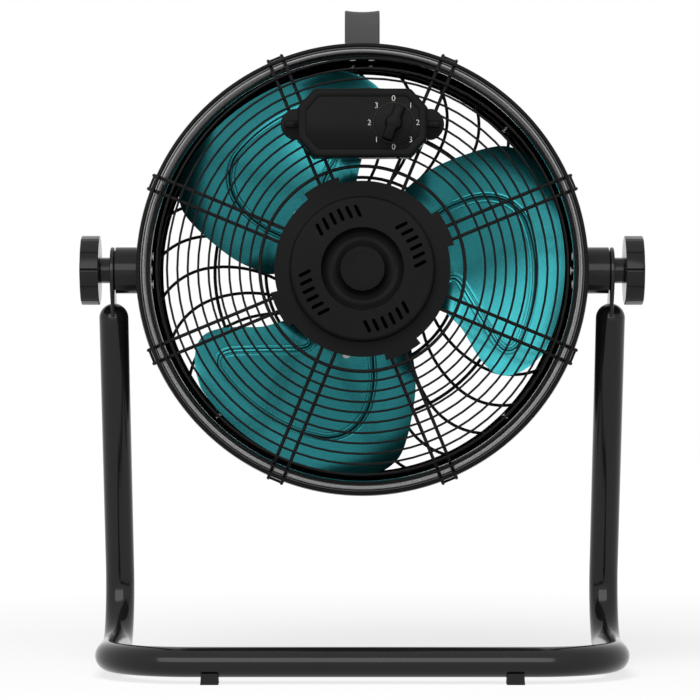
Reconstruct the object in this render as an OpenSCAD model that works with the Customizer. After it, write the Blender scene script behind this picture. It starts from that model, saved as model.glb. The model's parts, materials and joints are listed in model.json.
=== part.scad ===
// Industrial floor fan: a drum fan head that tilts in a bent tube stand.
// Head pieces are drawn looking at the intake: x right, y up, z towards the intake,
// with the tilt axis crossing the fan axis at zero.

/* [Drum] */
// Inside radius of the drum wall
drum_r = 183; // [176:1:190]
// Thickness of the drum sheet
drum_t = 1.2; // [0.8:0.1:1.6]
// Distance from the rolled bead to the outlet lip
drum_len = 153; // [140:1:170]
// Outside radius of the rolled bead
bead_r = 6.5; // [5:0.1:7]
// Bead centre outside the wall's inner face
bead_out = 3.7; // [3:0.1:4.5]
// Width of the lip round the outlet
lip_w = 6; // [5:0.5:8]
// Distance from the tilt axis to the bead
bead_z = 37; // [34:0.5:40]

/* [Rear guard] */
// Height of the rear guard above the bead
guard_rise = 27; // [24:0.5:30]
// Wire diameter of the ribs
rib_d = 3; // [2.4:0.1:3.4]
// Number of rib pairs
rib_pairs = 8; // [8:1:8]
// Distance between the two wires of a pair
rib_gap = 12.2; // [11:0.1:13.5]
// Radius where the ribs start, under the motor cover
rib_start_r = 58; // [50:1:62]
// Wire diameter of the spiral
spiral_d = 2; // [1.6:0.1:2.4]
// Distance between turns of the spiral
spiral_pitch = 8.76; // [8.5:0.01:8.85]
// Distance from the spiral's last flat turn to the drum wall
spiral_in = 9.16; // [8:0.01:10]
// Smallest gap between the motor cover and the spiral
spiral_gap = 14; // [12:0.5:15]
// Distance from the inner ring to the spiral's first turn
inner_ring_gap = 8.4; // [7:0.1:10]
// Wire diameter of the inner ring
ring_d = 3; // [2.4:0.1:3.4]
// Distance from the drum wall to the ring on the rim
rim_ring_out = 7.3; // [5:0.1:8.5]
// Wire diameter of the ring on the rim
rim_ring_d = 3.5; // [3:0.1:4]

/* [Front guard] */
// Number of curved spokes
spoke_count = 30; // [24:1:36]
// Wire diameter of the spokes
spoke_d = 2.8; // [2.2:0.1:3]
// Distance from the drum wall to the spokes' knees
spoke_knee_in = 49; // [45:1:53]
// Sideways offset of a spoke at its knee
spoke_knee_side = 24.5; // [23:0.5:26]
// Bend radius of a spoke outside its knee
spoke_outer_bend = 60; // [56:1:64]
// Bend radius of a spoke inside its knee
spoke_inner_bend = 100; // [96:1:110]
// Slope of the spokes, in degrees
spoke_slope = 5.6; // [4:0.1:7]
// Distance from the guard's middle ring to the spokes' knees
mid_ring_in = 3; // [0:0.5:8]
// Distance from the centre disc to the guard's inner ring
hub_ring_out = 26.7; // [20:0.1:32]
// How far the centre disc covers the spokes' ends
disc_cover = 4.6; // [3:0.1:8]

/* [Blades] */
// Number of blades
blade_count = 3; // [3:1:3]
// Gap between the blade tips and the drum
tip_gap = 5; // [4:0.5:10]
// Thickness of the blade sheet
blade_t = 1.2; // [1:0.1:1.6]
// Depth of a blade from edge to edge along the axis
blade_drop = 55; // [46:1:58]
// Angle of the first blade, in degrees
blade_angle = 0; // [-30:1:30]

/* [Motor] */
// Radius of the motor
motor_r = 52; // [49:0.5:53]
// Length of the motor
motor_len = 52; // [48:1:53]
// Wall of the motor bells
bell_t = 3; // [2.5:0.1:3.5]
// Diameter of the motor shaft
shaft_d = 10; // [8:0.5:12]
// Outside diameter of the bearings
bearing_d = 28; // [26:0.5:30]
// Width of the bearings
bearing_w = 8; // [7:0.5:9]
// Radius of the rotor
rotor_r = 30; // [28:0.5:31]
// Length of the rotor and the stator
core_len = 22; // [18:1:23]

/* [Motor cover] */
// Radius of the cover's flange
cover_flange_r = 74.4; // [72:0.1:75]
// Radius to the end of the cover's tabs
cover_tab_r = 79.9; // [79:0.1:81]
// Radius of the raised disc
cover_r = 61.5; // [60.5:0.1:63]
// Height of the cover
cover_h = 10; // [9.5:0.1:12]
// Wall of the cover
cover_t = 1.8; // [1.4:0.1:2]
// Radius to the outside of the round recess
dish_r = 35; // [33:0.1:36]
// Radius to the inside of the round recess
dish_inner_r = 18.6; // [18:0.1:19.5]
// Length of a vent slot
slot_l = 11.3; // [9:0.1:12]
// Width of a vent slot
slot_w = 3; // [2.4:0.1:3.4]

/* [Control box] */
// Distance from the box's sides to its clamp screws
clamp_inset = 6; // [6:0.1:7]
// Height of the control box
box_h = 58.7; // [58:0.1:62]
// Depth of the control box
box_d = 26.5; // [24:0.5:30]
// Wall of the control box
box_t = 2.2; // [1.8:0.1:2.6]
// Corner cut of the box, across
box_cut_w = 14; // [12:0.5:15]
// Corner cut of the box, up
box_cut_h = 15.5; // [14:0.5:16]
// Distance from the spiral's first turn to the box's middle
box_out = 26.7; // [26:0.1:28.5]
// Radius of the ears at the box's sides
ear_r = 13.5; // [12.5:0.1:14]
// Thickness of the back plate
back_t = 4; // [3:0.1:5]
// Place of the speed knob right of the box centre
knob_x = 26; // [24:0.5:28]
// Diameter of the speed knob
dial_d = 33; // [30:0.5:34]
// Height of the speed knob
dial_h = 13; // [11:0.5:15]

/* [Carrying handle] */
// Width of the handle strap
strap_w = 30; // [26:1:34]
// Thickness of the handle strap
strap_t = 3; // [2.4:0.1:3.4]
// Height of the handle above the drum
strap_rise = 39.8; // [35:0.1:48]
// Length of the handle along the drum
strap_len = 110; // [100:1:120]
// Distance of the handle's front from the tilt axis
strap_z = 14; // [10:1:18]

/* [Stand] */
// Height of the tilt axis above the floor
axis_h = 347; // [342:1:365]
// Outside diameter of the stand tube
tube_d = 25.4; // [24:0.1:26]
// Wall of the stand tube
tube_t = 1.5; // [1.2:0.1:2]
// Distance from the drum to each upright's centre
side_gap = 30.8; // [29:0.1:34]
// Lean of the uprights, in degrees
lean = 21.6; // [19:0.1:24]
// Bend radius at the back of the stand
rear_bend = 50; // [46:1:54]
// Bend radius at the front corners
front_bend = 72; // [66:1:78]
// Distance from the tilt axis to the front tube
front_reach = 107.9; // [104:0.5:112]
// Thickness of the flattened tube ends
lug_t = 3.3; // [3:0.1:3.6]
// Radius of the flattened tube ends
lug_r = 20; // [18:0.5:21]

/* [Feet] */
// Width of a rubber foot along the tube
foot_w = 13.8; // [12:0.1:16]
// Width of a rubber foot across the tube
foot_l = 22; // [20:0.5:24]
// Height of the tube above the floor
foot_h = 5.6; // [5:0.1:6.5]
// Distance from the middle to a front foot
front_foot_x = 127.5; // [110:0.5:135]
// Distance from the tilt axis to the rear feet
rear_foot_y = 48; // [35:1:50]

/* [Tilt clamps] */
// Diameter of the pivot bosses
boss_d = 40; // [36:0.5:40]
// Diameter of the clamp bolts
bolt_d = 8; // [7:0.5:10]
// Diameter of the hand knobs
hand_knob_d = 60; // [56:1:64]
// Thickness of the hand knobs
hand_knob_t = 16; // [14:0.5:18]
// Number of lobes on a hand knob
hand_knob_lobes = 12; // [10:1:14]
// Diameter of the hand knob's neck
neck_d = 22; // [20:0.5:26]
// Length of the hand knob's neck
neck_l = 9; // [8:0.5:11]

/* [Hidden] */
$fn = 64;

// Gaps: between pieces that touch, between pieces that run on each other, in the motor's air gap
seat = 0.05;
running = 0.05;
air_gap = 0.4;
tilt_gap = 0.2;
over = 1;
left = -1;
right = 1;

// Drum
drum_or = drum_r + drum_t;
stand_x = drum_or + side_gap;
strap_top = drum_or + strap_rise;
tip_r = drum_r - tip_gap;
bead_major = drum_r + bead_out;
lip_z = bead_z - drum_len;
curl_gap = 1.6;
curl_cut_angle = -62;
wall_top = bead_z - sqrt(pow(bead_r - drum_t / 2, 2) - pow(bead_out - drum_t / 2, 2));

// Rear guard: a rib runs flat, kinks down a straight shoulder and wraps the bead
guard_z = bead_z + guard_rise;
last_turn_r = drum_r - spiral_in;
turns = floor((last_turn_r - cover_tab_r - spiral_gap) / spiral_pitch) + 1;
spiral_r = last_turn_r - (turns - 1) * spiral_pitch;
outer_turn_r = last_turn_r + spiral_pitch;
inner_ring_r = spiral_r - inner_ring_gap;
rim_ring_r = drum_r + rim_ring_out;
kink_back = 1.2;
kink_r = last_turn_r - kink_back;
kink_bend = 6;
hook_r = bead_r + seat + rib_d / 2;
kink_dist = sqrt(pow(bead_major - kink_r, 2) + pow(guard_rise, 2));
shoulder_normal = atan2(bead_major - kink_r, guard_rise) + asin(hook_r / kink_dist);
kink_cut = kink_bend * tan((90 - shoulder_normal) / 2);
hook_end_angle = -25;
wire_sides = 8;
kink_steps = 4;
hook_steps = 7;
hook_bar_d = rib_d * 0.9;
rib_first_angle = 22.5;
spiral_z = guard_z + (rib_d + spiral_d) / 2 + seat;
spiral_start_angle = 341.7;
spiral_end_angle = 157.5;
outer_drop = spiral_pitch / tan(shoulder_normal);
outer_tilt = atan(outer_drop / (last_turn_r + outer_turn_r));
weld_angle = 0.05;
rim_ring_off = hook_r + (rib_d + rim_ring_d) / 2 + seat;
rim_ring_z = bead_z + (rim_ring_off - (rim_ring_r - bead_major) * cos(shoulder_normal))
    / sin(shoulder_normal);
inner_ring_z = guard_z + (rib_d + ring_d) / 2 + seat;

// Front guard: a spoke is two arcs that meet at its knee, in a plane sloping out to the centre
spoke_knee_r = drum_r - spoke_knee_in;
spoke_seat_r = drum_r - lip_w;
spoke_seat_z = lip_z + spoke_d / 2 + 4 * seat;
spoke_first_angle = 200.4;
spoke_outer_turn = asin((drum_r - spoke_d - spoke_knee_r) / spoke_outer_bend);
spoke_inner_turn = 57;
spoke_end_x = spoke_knee_r - spoke_inner_bend * sin(spoke_inner_turn);
spoke_end_r = norm([spoke_end_x, spoke_inner_bend * (1 - cos(spoke_inner_turn)) - spoke_knee_side]);
disc_r = spoke_end_r + disc_cover;
hub_ring_r = disc_r + hub_ring_out;
mid_ring_r = spoke_knee_r - mid_ring_in;
guard_ring_r = drum_r - ring_d / 2 - seat;
disc_t = 1.5;
guard_screws = 4;
guard_screw_angle = 45;
guard_screw_d = 4;
guard_screw_head = [8, 2.4];
guard_screw_in = 6;

function spoke_side(x) = spoke_inner_bend - spoke_knee_side
    - sqrt(pow(spoke_inner_bend, 2) - pow(spoke_knee_r - x, 2));
function spoke_height(x) = spoke_seat_z + (x - spoke_seat_r) * tan(spoke_slope);
function spoke_x(r) = sqrt(pow(r, 2) - pow(spoke_side(r), 2));
function guard_ring_z(x) = spoke_height(x) + (spoke_d + ring_d) / 2 / cos(spoke_slope) + seat;
disc_z = spoke_height(spoke_end_x - spoke_d / 2) - spoke_d / 2 / cos(spoke_slope) - seat;
disc_back_z = disc_z - disc_t;

// Blades: rows from root to tip, each with its share of the tip radius, the angles of its edges
// and its share of the drop
blade_r_shares = [0.315, 0.376, 0.438, 0.494, 0.551, 0.607, 0.663, 0.714, 0.764, 0.809, 0.848,
    0.882, 0.912, 0.938, 0.963];
lead_angles = [-20.8, -24.6, -26.7, -28.6, -30.4, -33.1, -35.6, -37.1, -37.9, -37.9, -36.9,
    -34.9, -32.1, -28.6, -24];
trail_angles = [56.1, 59.9, 62, 60.4, 57.9, 55.6, 53, 50.6, 48.4, 46.6, 45, 43.6, 42.2, 40.6, 38.4];
drop_shares = [0.58, 0.76, 0.93, 1, 1, 1, 1, 1, 1, 1, 1, 1, 1, 1, 1];
tip_row = len(blade_r_shares) - 1;
camber_power = 1.35;
blade_cols = 14;
tip_peak_share = 0.87;
tip_rise = tip_r * (1 - blade_r_shares[tip_row]);
tip_blend = 6;

function lerp(a, b, t) = a + (b - a) * t;
function camber(u) = pow(u, camber_power);
function tip_lift(u) = u < tip_peak_share ? u / tip_peak_share
    : 1 - pow((u - tip_peak_share) / (1 - tip_peak_share), 2);
function blade_radius(row, u) = tip_r * blade_r_shares[row]
    + tip_rise * tip_lift(u) * pow(row / tip_row, tip_blend);
function blade_theta(row, u) = lerp(lead_angles[row], trail_angles[row], u);
function blade_z(row, u) = blade_drop * drop_shares[row] * (camber(0.5) - camber(u));
function blade_point(row, u, side) = let (r = blade_radius(row, u), a = blade_theta(row, u))
    [r * cos(a), r * sin(a), blade_z(row, u) + side * blade_t / 2];

// Spider: flat arms tilted to the blades' pitch at their roots
hub_r = 20;
hub_top = 4;
hub_bottom = -24;
arm_start_r = 12;
arm_end_r = 79;
arm_w = 26;
arm_t = 2.5;
arm_gap = 0.45;
arm_angle = (lead_angles[0] + trail_angles[0]) / 2;
arm_chord = tip_r * blade_r_shares[0] * (trail_angles[0] - lead_angles[0]) * PI / 180;
arm_pitch = atan(blade_drop * drop_shares[0] * camber_power * pow(0.5, camber_power - 1) / arm_chord);
arm_z = -((blade_t + arm_t) / 2 + arm_gap) / cos(arm_pitch);
rivet_rs = [61, 73];
rivet_d = 4.4;
rivet_head_d = 8;
rivet_head_t = 1.6;

// Motor, hung on a plate behind the ribs
plate_t = 2.5;
plate_r = 70;
plate_hole_r = 20;
plate_top = guard_z - rib_d / 2 - seat;
motor_top = plate_top - plate_t - seat;
motor_mid = motor_top - motor_len / 2;
motor_bottom = motor_top - motor_len;
bell_r = motor_r - bell_t;
lug_out = 3.7;
motor_lug_r = 5;
motor_lug_t = 5;
motor_lugs = 4;
motor_bolt_d = 4;
motor_bolt_head = [7, 2.4];
nut_h = 3.2;
stator_slots = 24;
stator_slot_w = 2.6;
stator_slot_l = 10;
winding_r = 4.8;
winding_major = 40;
rotor_bars = 22;
rotor_bar_r = 1.6;
bearing_boss_t = 3;
shaft_top = motor_top - bell_t - over;
shaft_end_l = 10;
shaft_bottom = hub_bottom - shaft_end_l;
hub_nut_d = 17;
hub_nut_h = 8;

// Motor cover, in front of the ribs
cover_z = guard_z + rib_d / 2 + seat;
cover_angle = 26.3;
cover_tab_turn = 23.5;
cover_groups = 4;
cover_edge_r = 3;
slots_per_group = 6;
slot_row_r = 48.8;
slot_step = 8.65;
dish_mid_r = (dish_r + dish_inner_r) / 2;
dish_bend = (dish_r - dish_inner_r) / 2;
cap_inset = 0.2;
cap_r = dish_inner_r - cap_inset;
cap_lift = 0.6;
cap_step_r = 16.8;
cap_groove_r = 13;
cap_groove_w = 0.8;
cap_groove_d = 0.5;
cap_plug_l = 4;
cover_screw_r = 73.5;
cover_screw_d = 3;
cover_screw_head = [6, 2];
cover_lug_r = 5;

// Control box, on the rear guard
clamp_turn = 3;
clamp_angles = [68.3, 111.7];
gap_r = spiral_r + spiral_pitch * (clamp_turn + 1);
box_w = 2 * (clamp_r(clamp_angles[0]) * cos(clamp_angles[0]) + clamp_inset);
box_y = spiral_r + box_out;
box_back_z = spiral_z + spiral_d / 2 + seat;
box_shell_z = box_back_z + back_t + seat;
box_front_z = box_back_z + box_d;
box_edge = 2.4;
ear_out = 0.8;
ear_x = box_w / 2 + ear_out;
pill_l = 12.4;
pill_x = box_w / 2 + pill_l / 2 - box_t / 4;
pill_w = 6.3;
pill_h = 5;
box_screw_d = 3;
box_screw_head = [5.6, 1.8];
clamp_w = 12;
clamp_l = 21;
clamp_t = 2;
clamp_screw_d = 4;
clamp_screw_head = [7, 2.6];
spindle_d = 6;
spindle_in = 8;
spindle_back = 6;
switch_w = 24;
switch_h = 14;
cap_box = [36, 20, 13];
cap_clear = 1.5;
cap_box_x = -(box_w / 2 - clamp_inset - clamp_screw_head[0] / 2 - cap_clear - cap_box[0] / 2);
dial_gap = 0.3;
dial_base_h = 4;
grip_w = 8.5;
grip_bulge_d = 13.5;
grip_angle = -22;
grip_inset = 0.4;

function clamp_r(a) = spiral_pitch / 2 * cos(a)
    + sqrt(pow(gap_r, 2) - pow(spiral_pitch / 2 * sin(a), 2));

// Carrying handle
handle_bend = 12;
handle_foot_bend = 5;
handle_foot_l = 26;
handle_screw_d = 5;
handle_screw_head = [9, 2.6];
handle_screw_side = 8;
handle_screw_in = 2.2;

// Tilt clamps, outwards from the drum
lug_in_x = stand_x - lug_t / 2;
lug_out_x = stand_x + lug_t / 2;
washer_t = 1;
washer_x = lug_in_x - tilt_gap - washer_t;
washer_d = 34;
boss_end_x = washer_x - seat;
boss_rivets_r = 14;
boss_rivet_count = 3;
boss_rivet_d = 4;
boss_rivet_head = [7, 1.6];
boss_rivet_in = 12;
bolt_start_in = 5;
bolt_start_x = drum_or + bolt_start_in;
bolt_flange_t = 3;
neck_x = lug_out_x + tilt_gap;
knob_x0 = neck_x + neck_l;
bolt_in_knob = 9;
bolt_end_x = knob_x0 + bolt_in_knob;
flute_d = 9;
flute_share = 0.3;
knob_edge = 2.5;
knob_cap_d = 26;
knob_cap_h = 1.5;

// Stand: one tube, drawn in the plane of each upright and then across the front
tube_r = tube_d / 2;
bore_r = tube_r - tube_t;
leg_z = foot_h + tube_r;
rear_turn = 90 + lean;
rear_cut = rear_bend * tan(rear_turn / 2);
rear_y = (axis_h - leg_z) * tan(lean) - rear_cut;
upright_len = (axis_h - leg_z) / cos(lean) - rear_cut;
lug_drop = 44;
front_y = -front_reach;
hole_r = bolt_d / 2 + running;

// Feet
foot_wrap = 3.6;
foot_top = foot_h + foot_wrap;
foot_flare = 0.6;
foot_screw_d = 4;
foot_screw_head = [8, 2];
foot_screw_up = 9;
foot_recess = 1.6;

// Depth of the whole fan, so that its middle lies over the origin
reach_front = front_reach + tube_r;
reach_back = max(-disc_back_z, rear_y + rear_bend + tube_r);
pivot_y = (reach_front - reach_back) / 2;

module arc(radius, wire_r, from, to) {
    rotate([0, 0, from]) rotate_extrude(angle = to - from) translate([radius, 0]) circle(r = wire_r);
}

module ring(radius, wire_r) {
    rotate_extrude() translate([radius, 0]) circle(r = wire_r);
}

module turned(angle, count) {
    for (i = [0 : count - 1]) rotate([0, 0, angle + i * 360 / count]) children();
}

module head_frame() {
    translate([0, pivot_y, axis_h]) rotate([90, 0, 0]) children();
}

// Along x from the drum towards one side, with x measured from the middle of the fan
module side_frame(side) {
    head_frame() rotate([0, 90 * side, 0]) children();
}

// A screw or rivet: the head stands on zero and the shank runs down
module screw(shank_d, shank_l, head) {
    translate([0, 0, -shank_l]) cylinder(d = shank_d, h = shank_l + head[1] / 2);
    cylinder(d = head[0], h = head[1]);
}

module drum() {
    color("#141414") head_frame() difference() {
        rotate_extrude() {
            translate([drum_r, lip_z - drum_t]) square([drum_t, wall_top - lip_z + drum_t]);
            translate([drum_r - lip_w, lip_z - drum_t]) square([lip_w + drum_t, drum_t]);
            translate([bead_major, bead_z]) difference() {
                circle(r = bead_r);
                circle(r = bead_r - drum_t);
                rotate(curl_cut_angle) translate([bead_r - drum_t - over, -curl_gap / 2])
                    square([drum_t + 2 * over, curl_gap]);
            }
        }
        for (side = [left, right])
            rotate([0, 90 * side, 0]) turned(0, boss_rivet_count) translate([boss_rivets_r, 0, 0])
                cylinder(d = boss_rivet_d + 2 * seat, h = drum_or + over);
        handle_screw_places() cylinder(d = handle_screw_d + 2 * seat, h = 2 * drum_or, center = true);
        guard_screw_places() cylinder(d = guard_screw_d + 2 * seat, h = 2 * lip_w, center = true);
    }
}

module pivot_boss(side) {
    color("#1b1b1b") side_frame(side) difference() {
        cylinder(d = boss_d, h = boss_end_x);
        rotate([0, 90, 0]) cylinder(r = drum_or + seat, h = 2 * boss_d, center = true);
        cylinder(r = hole_r, h = boss_end_x + over);
        boss_rivet_places() cylinder(d = boss_rivet_d + 2 * seat, h = drum_or + boss_rivet_in);
    }
}

module boss_rivet_places() {
    turned(0, boss_rivet_count) translate([boss_rivets_r, 0, 0]) children();
}

module boss_rivets() {
    head_top = sqrt(pow(drum_r, 2) - pow(boss_rivets_r + boss_rivet_head[0] / 2, 2)) - seat;
    color("#3a3a3a") for (side = [left, right]) side_frame(side) boss_rivet_places() {
        translate([0, 0, head_top - boss_rivet_head[1]])
            cylinder(d = boss_rivet_head[0], h = boss_rivet_head[1]);
        translate([0, 0, head_top - boss_rivet_head[1] / 2])
            cylinder(d = boss_rivet_d, h = boss_rivet_in);
    }
}

module washer(side) {
    color("#8f8f8f") side_frame(side) translate([0, 0, washer_x]) difference() {
        cylinder(d = washer_d, h = washer_t);
        translate([0, 0, -over]) cylinder(r = hole_r, h = washer_t + 2 * over);
    }
}

module clamp_bolt(side) {
    color("#9a9a9a") side_frame(side) {
        translate([0, 0, bolt_start_x]) cylinder(d = bolt_d, h = bolt_end_x - bolt_start_x);
        translate([0, 0, knob_x0 + bolt_flange_t])
            cylinder(d = bolt_d * sqrt(3), h = bolt_flange_t, $fn = 6);
    }
}

module hand_knob(side) {
    color("#181818") side_frame(side) difference() {
        union() {
            translate([0, 0, neck_x]) cylinder(d = neck_d, h = neck_l + over);
            intersection() {
                translate([0, 0, knob_x0]) linear_extrude(hand_knob_t) difference() {
                    circle(d = hand_knob_d);
                    for (i = [0 : hand_knob_lobes - 1]) rotate(360 * (i + 0.5) / hand_knob_lobes)
                        translate([hand_knob_d / 2 + flute_d * flute_share, 0]) circle(d = flute_d);
                }
                translate([0, 0, knob_x0]) rotate_extrude() hand_knob_side();
            }
            translate([0, 0, knob_x0 + hand_knob_t - over]) cylinder(d = knob_cap_d, h = knob_cap_h + over);
        }
        translate([0, 0, neck_x - over])
            cylinder(d = bolt_d + 2 * seat, h = bolt_end_x + seat - neck_x + over);
        translate([0, 0, knob_x0 + bolt_flange_t - seat])
            cylinder(d = bolt_d * sqrt(3) + 2 * seat, h = bolt_flange_t + 2 * seat, $fn = 6);
    }
}

module hand_knob_side() {
    r = hand_knob_d / 2;
    union() {
        square([r - knob_edge, hand_knob_t]);
        translate([0, knob_edge]) square([r, hand_knob_t - 2 * knob_edge]);
        for (v = [knob_edge, hand_knob_t - knob_edge]) translate([r - knob_edge, v]) circle(r = knob_edge);
    }
}

module handle_profile(grow) {
    low = drum_or + seat;
    r1 = handle_bend + grow;
    r2 = handle_foot_bend + grow;
    translate([strap_z - strap_len + strap_t - grow, low + strap_t - grow])
        rounded_strap(strap_len - 2 * strap_t + 2 * grow, strap_top - low - 2 * strap_t + 2 * grow, r1, r2);
}

module rounded_strap(w, h, top_r, foot_r) {
    translate([0, foot_r]) square([w, h - foot_r - top_r]);
    translate([foot_r, 0]) square([w - 2 * foot_r, foot_r + over]);
    translate([top_r, h - top_r - over]) square([w - 2 * top_r, top_r + over]);
    for (u = [foot_r, w - foot_r]) translate([u, foot_r]) circle(r = foot_r);
    for (u = [top_r, w - top_r]) translate([u, h - top_r]) circle(r = top_r);
}

module handle_screw_places() {
    for (z = [strap_z - handle_foot_l / 2, strap_z - strap_len + handle_foot_l / 2],
         x = [-handle_screw_side, handle_screw_side])
        translate([x, 0, z]) rotate([-90, 0, 0]) children();
}

module carry_handle() {
    color("#4a4a4a") head_frame() difference() {
        rotate([0, -90, 0]) linear_extrude(strap_w, center = true) difference() {
            handle_profile(strap_t);
            handle_profile(0);
            translate([strap_z - strap_len + handle_foot_l, drum_r])
                square([strap_len - 2 * handle_foot_l, strap_t * 2]);
        }
        handle_screw_places() cylinder(d = handle_screw_d + 2 * seat, h = drum_or + 2 * strap_t);
    }
}

module handle_screws() {
    color("#9a9a9a") head_frame() handle_screw_places() translate([0, 0, drum_or + strap_t + 2 * seat])
        screw(handle_screw_d, strap_t + drum_t + handle_screw_in, handle_screw_head);
}

// A wire swept along stations of [radius, height, angle of the wire's normal]
function arc_stations(cx, cz, radius, from, to, steps) = [for (i = [0 : steps])
    let (a = lerp(from, to, i / steps)) [cx + radius * cos(a), cz + radius * sin(a), a]];

module rib_wire() {
    stations = concat([[rib_start_r, guard_z, 90]],
        arc_stations(kink_r - kink_cut, guard_z - kink_bend, kink_bend, 90, shoulder_normal, kink_steps),
        arc_stations(bead_major, bead_z, hook_r, shoulder_normal, hook_end_angle, hook_steps));
    last = len(stations) - 1;
    points = [for (s = stations, k = [0 : wire_sides - 1]) let (a = 360 * (k + 0.5) / wire_sides)
        [s[0] + rib_d / 2 * cos(a) * cos(s[2]), rib_d / 2 * sin(a), s[1] + rib_d / 2 * cos(a) * sin(s[2])]];
    function at(i, k) = i * wire_sides + k % wire_sides;
    sides = [for (i = [0 : last - 1], k = [0 : wire_sides - 1])
        each [[at(i, k), at(i + 1, k + 1), at(i + 1, k)], [at(i, k), at(i, k + 1), at(i + 1, k + 1)]]];
    polyhedron(points, concat(sides, [[for (k = [1 : wire_sides]) at(0, wire_sides - k)]],
        [[for (k = [0 : wire_sides - 1]) at(last, k)]]));
}

module rear_guard_ribs() {
    color("#2c2c2c") head_frame() turned(rib_first_angle, rib_pairs) {
        for (y = [-rib_gap / 2, rib_gap / 2]) translate([0, y, 0]) rib_wire();
        translate([bead_major + hook_r * cos(hook_end_angle), 0, bead_z + hook_r * sin(hook_end_angle)])
            rotate([90, 0, 0])
            cylinder(d = hook_bar_d, h = rib_gap + rib_d, center = true, $fn = wire_sides);
    }
}

module rear_guard_spiral() {
    upper_r = spiral_r + spiral_pitch / 2;
    color("#2c2c2c") head_frame() translate([0, 0, spiral_z]) {
        arc(spiral_r, spiral_d / 2, 180, spiral_start_angle);
        for (i = [1 : turns - 1]) arc(spiral_r + i * spiral_pitch, spiral_d / 2, 180, 360);
        for (i = [0 : turns - 2]) translate([spiral_pitch / 2, 0, 0])
            arc(upper_r + i * spiral_pitch, spiral_d / 2, 0, 180);
        translate([-last_turn_r, 0, 0]) rotate([0, outer_tilt, 0])
            translate([last_turn_r + spiral_pitch / 2, 0, 0])
            arc(upper_r + (turns - 1) * spiral_pitch, spiral_d / 2, weld_angle, 180 - weld_angle);
        translate([0, 0, -outer_drop])
            arc(outer_turn_r, spiral_d / 2, 180 + weld_angle, 360 - weld_angle);
        translate([-outer_turn_r, 0, -outer_drop]) rotate([0, outer_tilt, 0])
            translate([outer_turn_r + spiral_pitch / 2, 0, 0])
            arc(upper_r + turns * spiral_pitch, spiral_d / 2, spiral_end_angle, 180 - weld_angle);
    }
}

module rear_guard_inner_ring() {
    color("#2c2c2c") head_frame() translate([0, 0, inner_ring_z]) ring(inner_ring_r, ring_d / 2);
}

module rear_guard_rim_ring() {
    color("#2c2c2c") head_frame() translate([0, 0, rim_ring_z]) ring(rim_ring_r, rim_ring_d / 2);
}

module front_guard_spokes() {
    color("#242424") head_frame() turned(spoke_first_angle, spoke_count)
        translate([spoke_seat_r, 0, spoke_seat_z]) rotate([0, -spoke_slope, 0])
        translate([spoke_knee_r - spoke_seat_r, -spoke_knee_side, 0]) {
            translate([0, spoke_outer_bend, 0])
                arc(spoke_outer_bend, spoke_d / 2, -90, spoke_outer_turn - 90);
            translate([0, spoke_inner_bend, 0]) mirror([1, 0, 0])
                arc(spoke_inner_bend, spoke_d / 2, -90, spoke_inner_turn - 90);
        }
}

module front_guard_rings() {
    color("#242424") head_frame() {
        translate([0, 0, guard_ring_z(guard_ring_r)]) ring(guard_ring_r, ring_d / 2);
        translate([0, 0, guard_ring_z(spoke_x(mid_ring_r)) + seat]) ring(mid_ring_r, ring_d / 2);
        translate([0, 0, guard_ring_z(spoke_x(hub_ring_r)) + seat]) ring(hub_ring_r, ring_d / 2);
    }
}

module front_guard_disc() {
    color("#1e1e1e") head_frame() translate([0, 0, disc_back_z]) rotate_extrude() {
        square([disc_r - disc_t, disc_t]);
        translate([disc_r - disc_t, 0]) intersection() {
            translate([0, disc_t]) circle(r = disc_t);
            square([disc_t, disc_t]);
        }
    }
}

module guard_screw_places() {
    z = guard_ring_z(guard_ring_r) + (ring_d + guard_screw_d) / 2 + seat;
    turned(guard_screw_angle, guard_screws) translate([drum_or, 0, z]) rotate([0, 90, 0]) children();
}

module front_guard_screws() {
    color("#3a3a3a") head_frame() guard_screw_places() translate([0, 0, seat])
        screw(guard_screw_d, guard_screw_in, guard_screw_head);
}

module motor_bolt_places() {
    turned(0, motor_lugs) translate([motor_r + lug_out, 0, 0]) children();
}

module cover_screw_places() {
    turned(rib_first_angle, cover_groups) translate([cover_screw_r, 0, 0]) children();
}

module motor_plate() {
    color("#2a2a2a") head_frame() difference() {
        translate([0, 0, plate_top - plate_t]) {
            cylinder(r = plate_r, h = plate_t);
            cover_screw_places() cylinder(r = cover_lug_r, h = plate_t);
        }
        translate([0, 0, motor_top - over]) {
            cylinder(r = plate_hole_r, h = plate_t + 2 * over);
            motor_bolt_places() cylinder(d = motor_bolt_d + 2 * seat, h = plate_t + 2 * over);
            cover_screw_places() cylinder(d = cover_screw_d + 2 * seat, h = plate_t + 2 * over);
        }
    }
}

module cover_section() {
    translate([cover_r - over, 0]) square([cover_flange_r - cover_r + over, cover_t]);
    translate([cover_r - cover_t, 0]) square([cover_t, cover_h - cover_edge_r]);
    translate([cover_r - cover_edge_r, cover_h - cover_edge_r]) intersection() {
        difference() {
            circle(r = cover_edge_r);
            circle(r = cover_edge_r - cover_t);
        }
        square([cover_edge_r, cover_edge_r]);
    }
    translate([dish_r, cover_h - cover_t]) square([cover_r - cover_edge_r - dish_r, cover_t]);
    translate([dish_mid_r, cover_h]) intersection() {
        difference() {
            circle(r = dish_bend + cover_t);
            circle(r = dish_bend);
        }
        translate([-2 * dish_bend, -cover_h]) square([4 * dish_bend, cover_h]);
    }
}

module vent_slot() {
    for (x = [-1, 1]) translate([x * (slot_l - slot_w) / 2, 0, 0])
        cylinder(d = slot_w, h = cover_t + 2 * over, center = true);
    cube([slot_l - slot_w, slot_w, cover_t + 2 * over], center = true);
}

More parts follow.
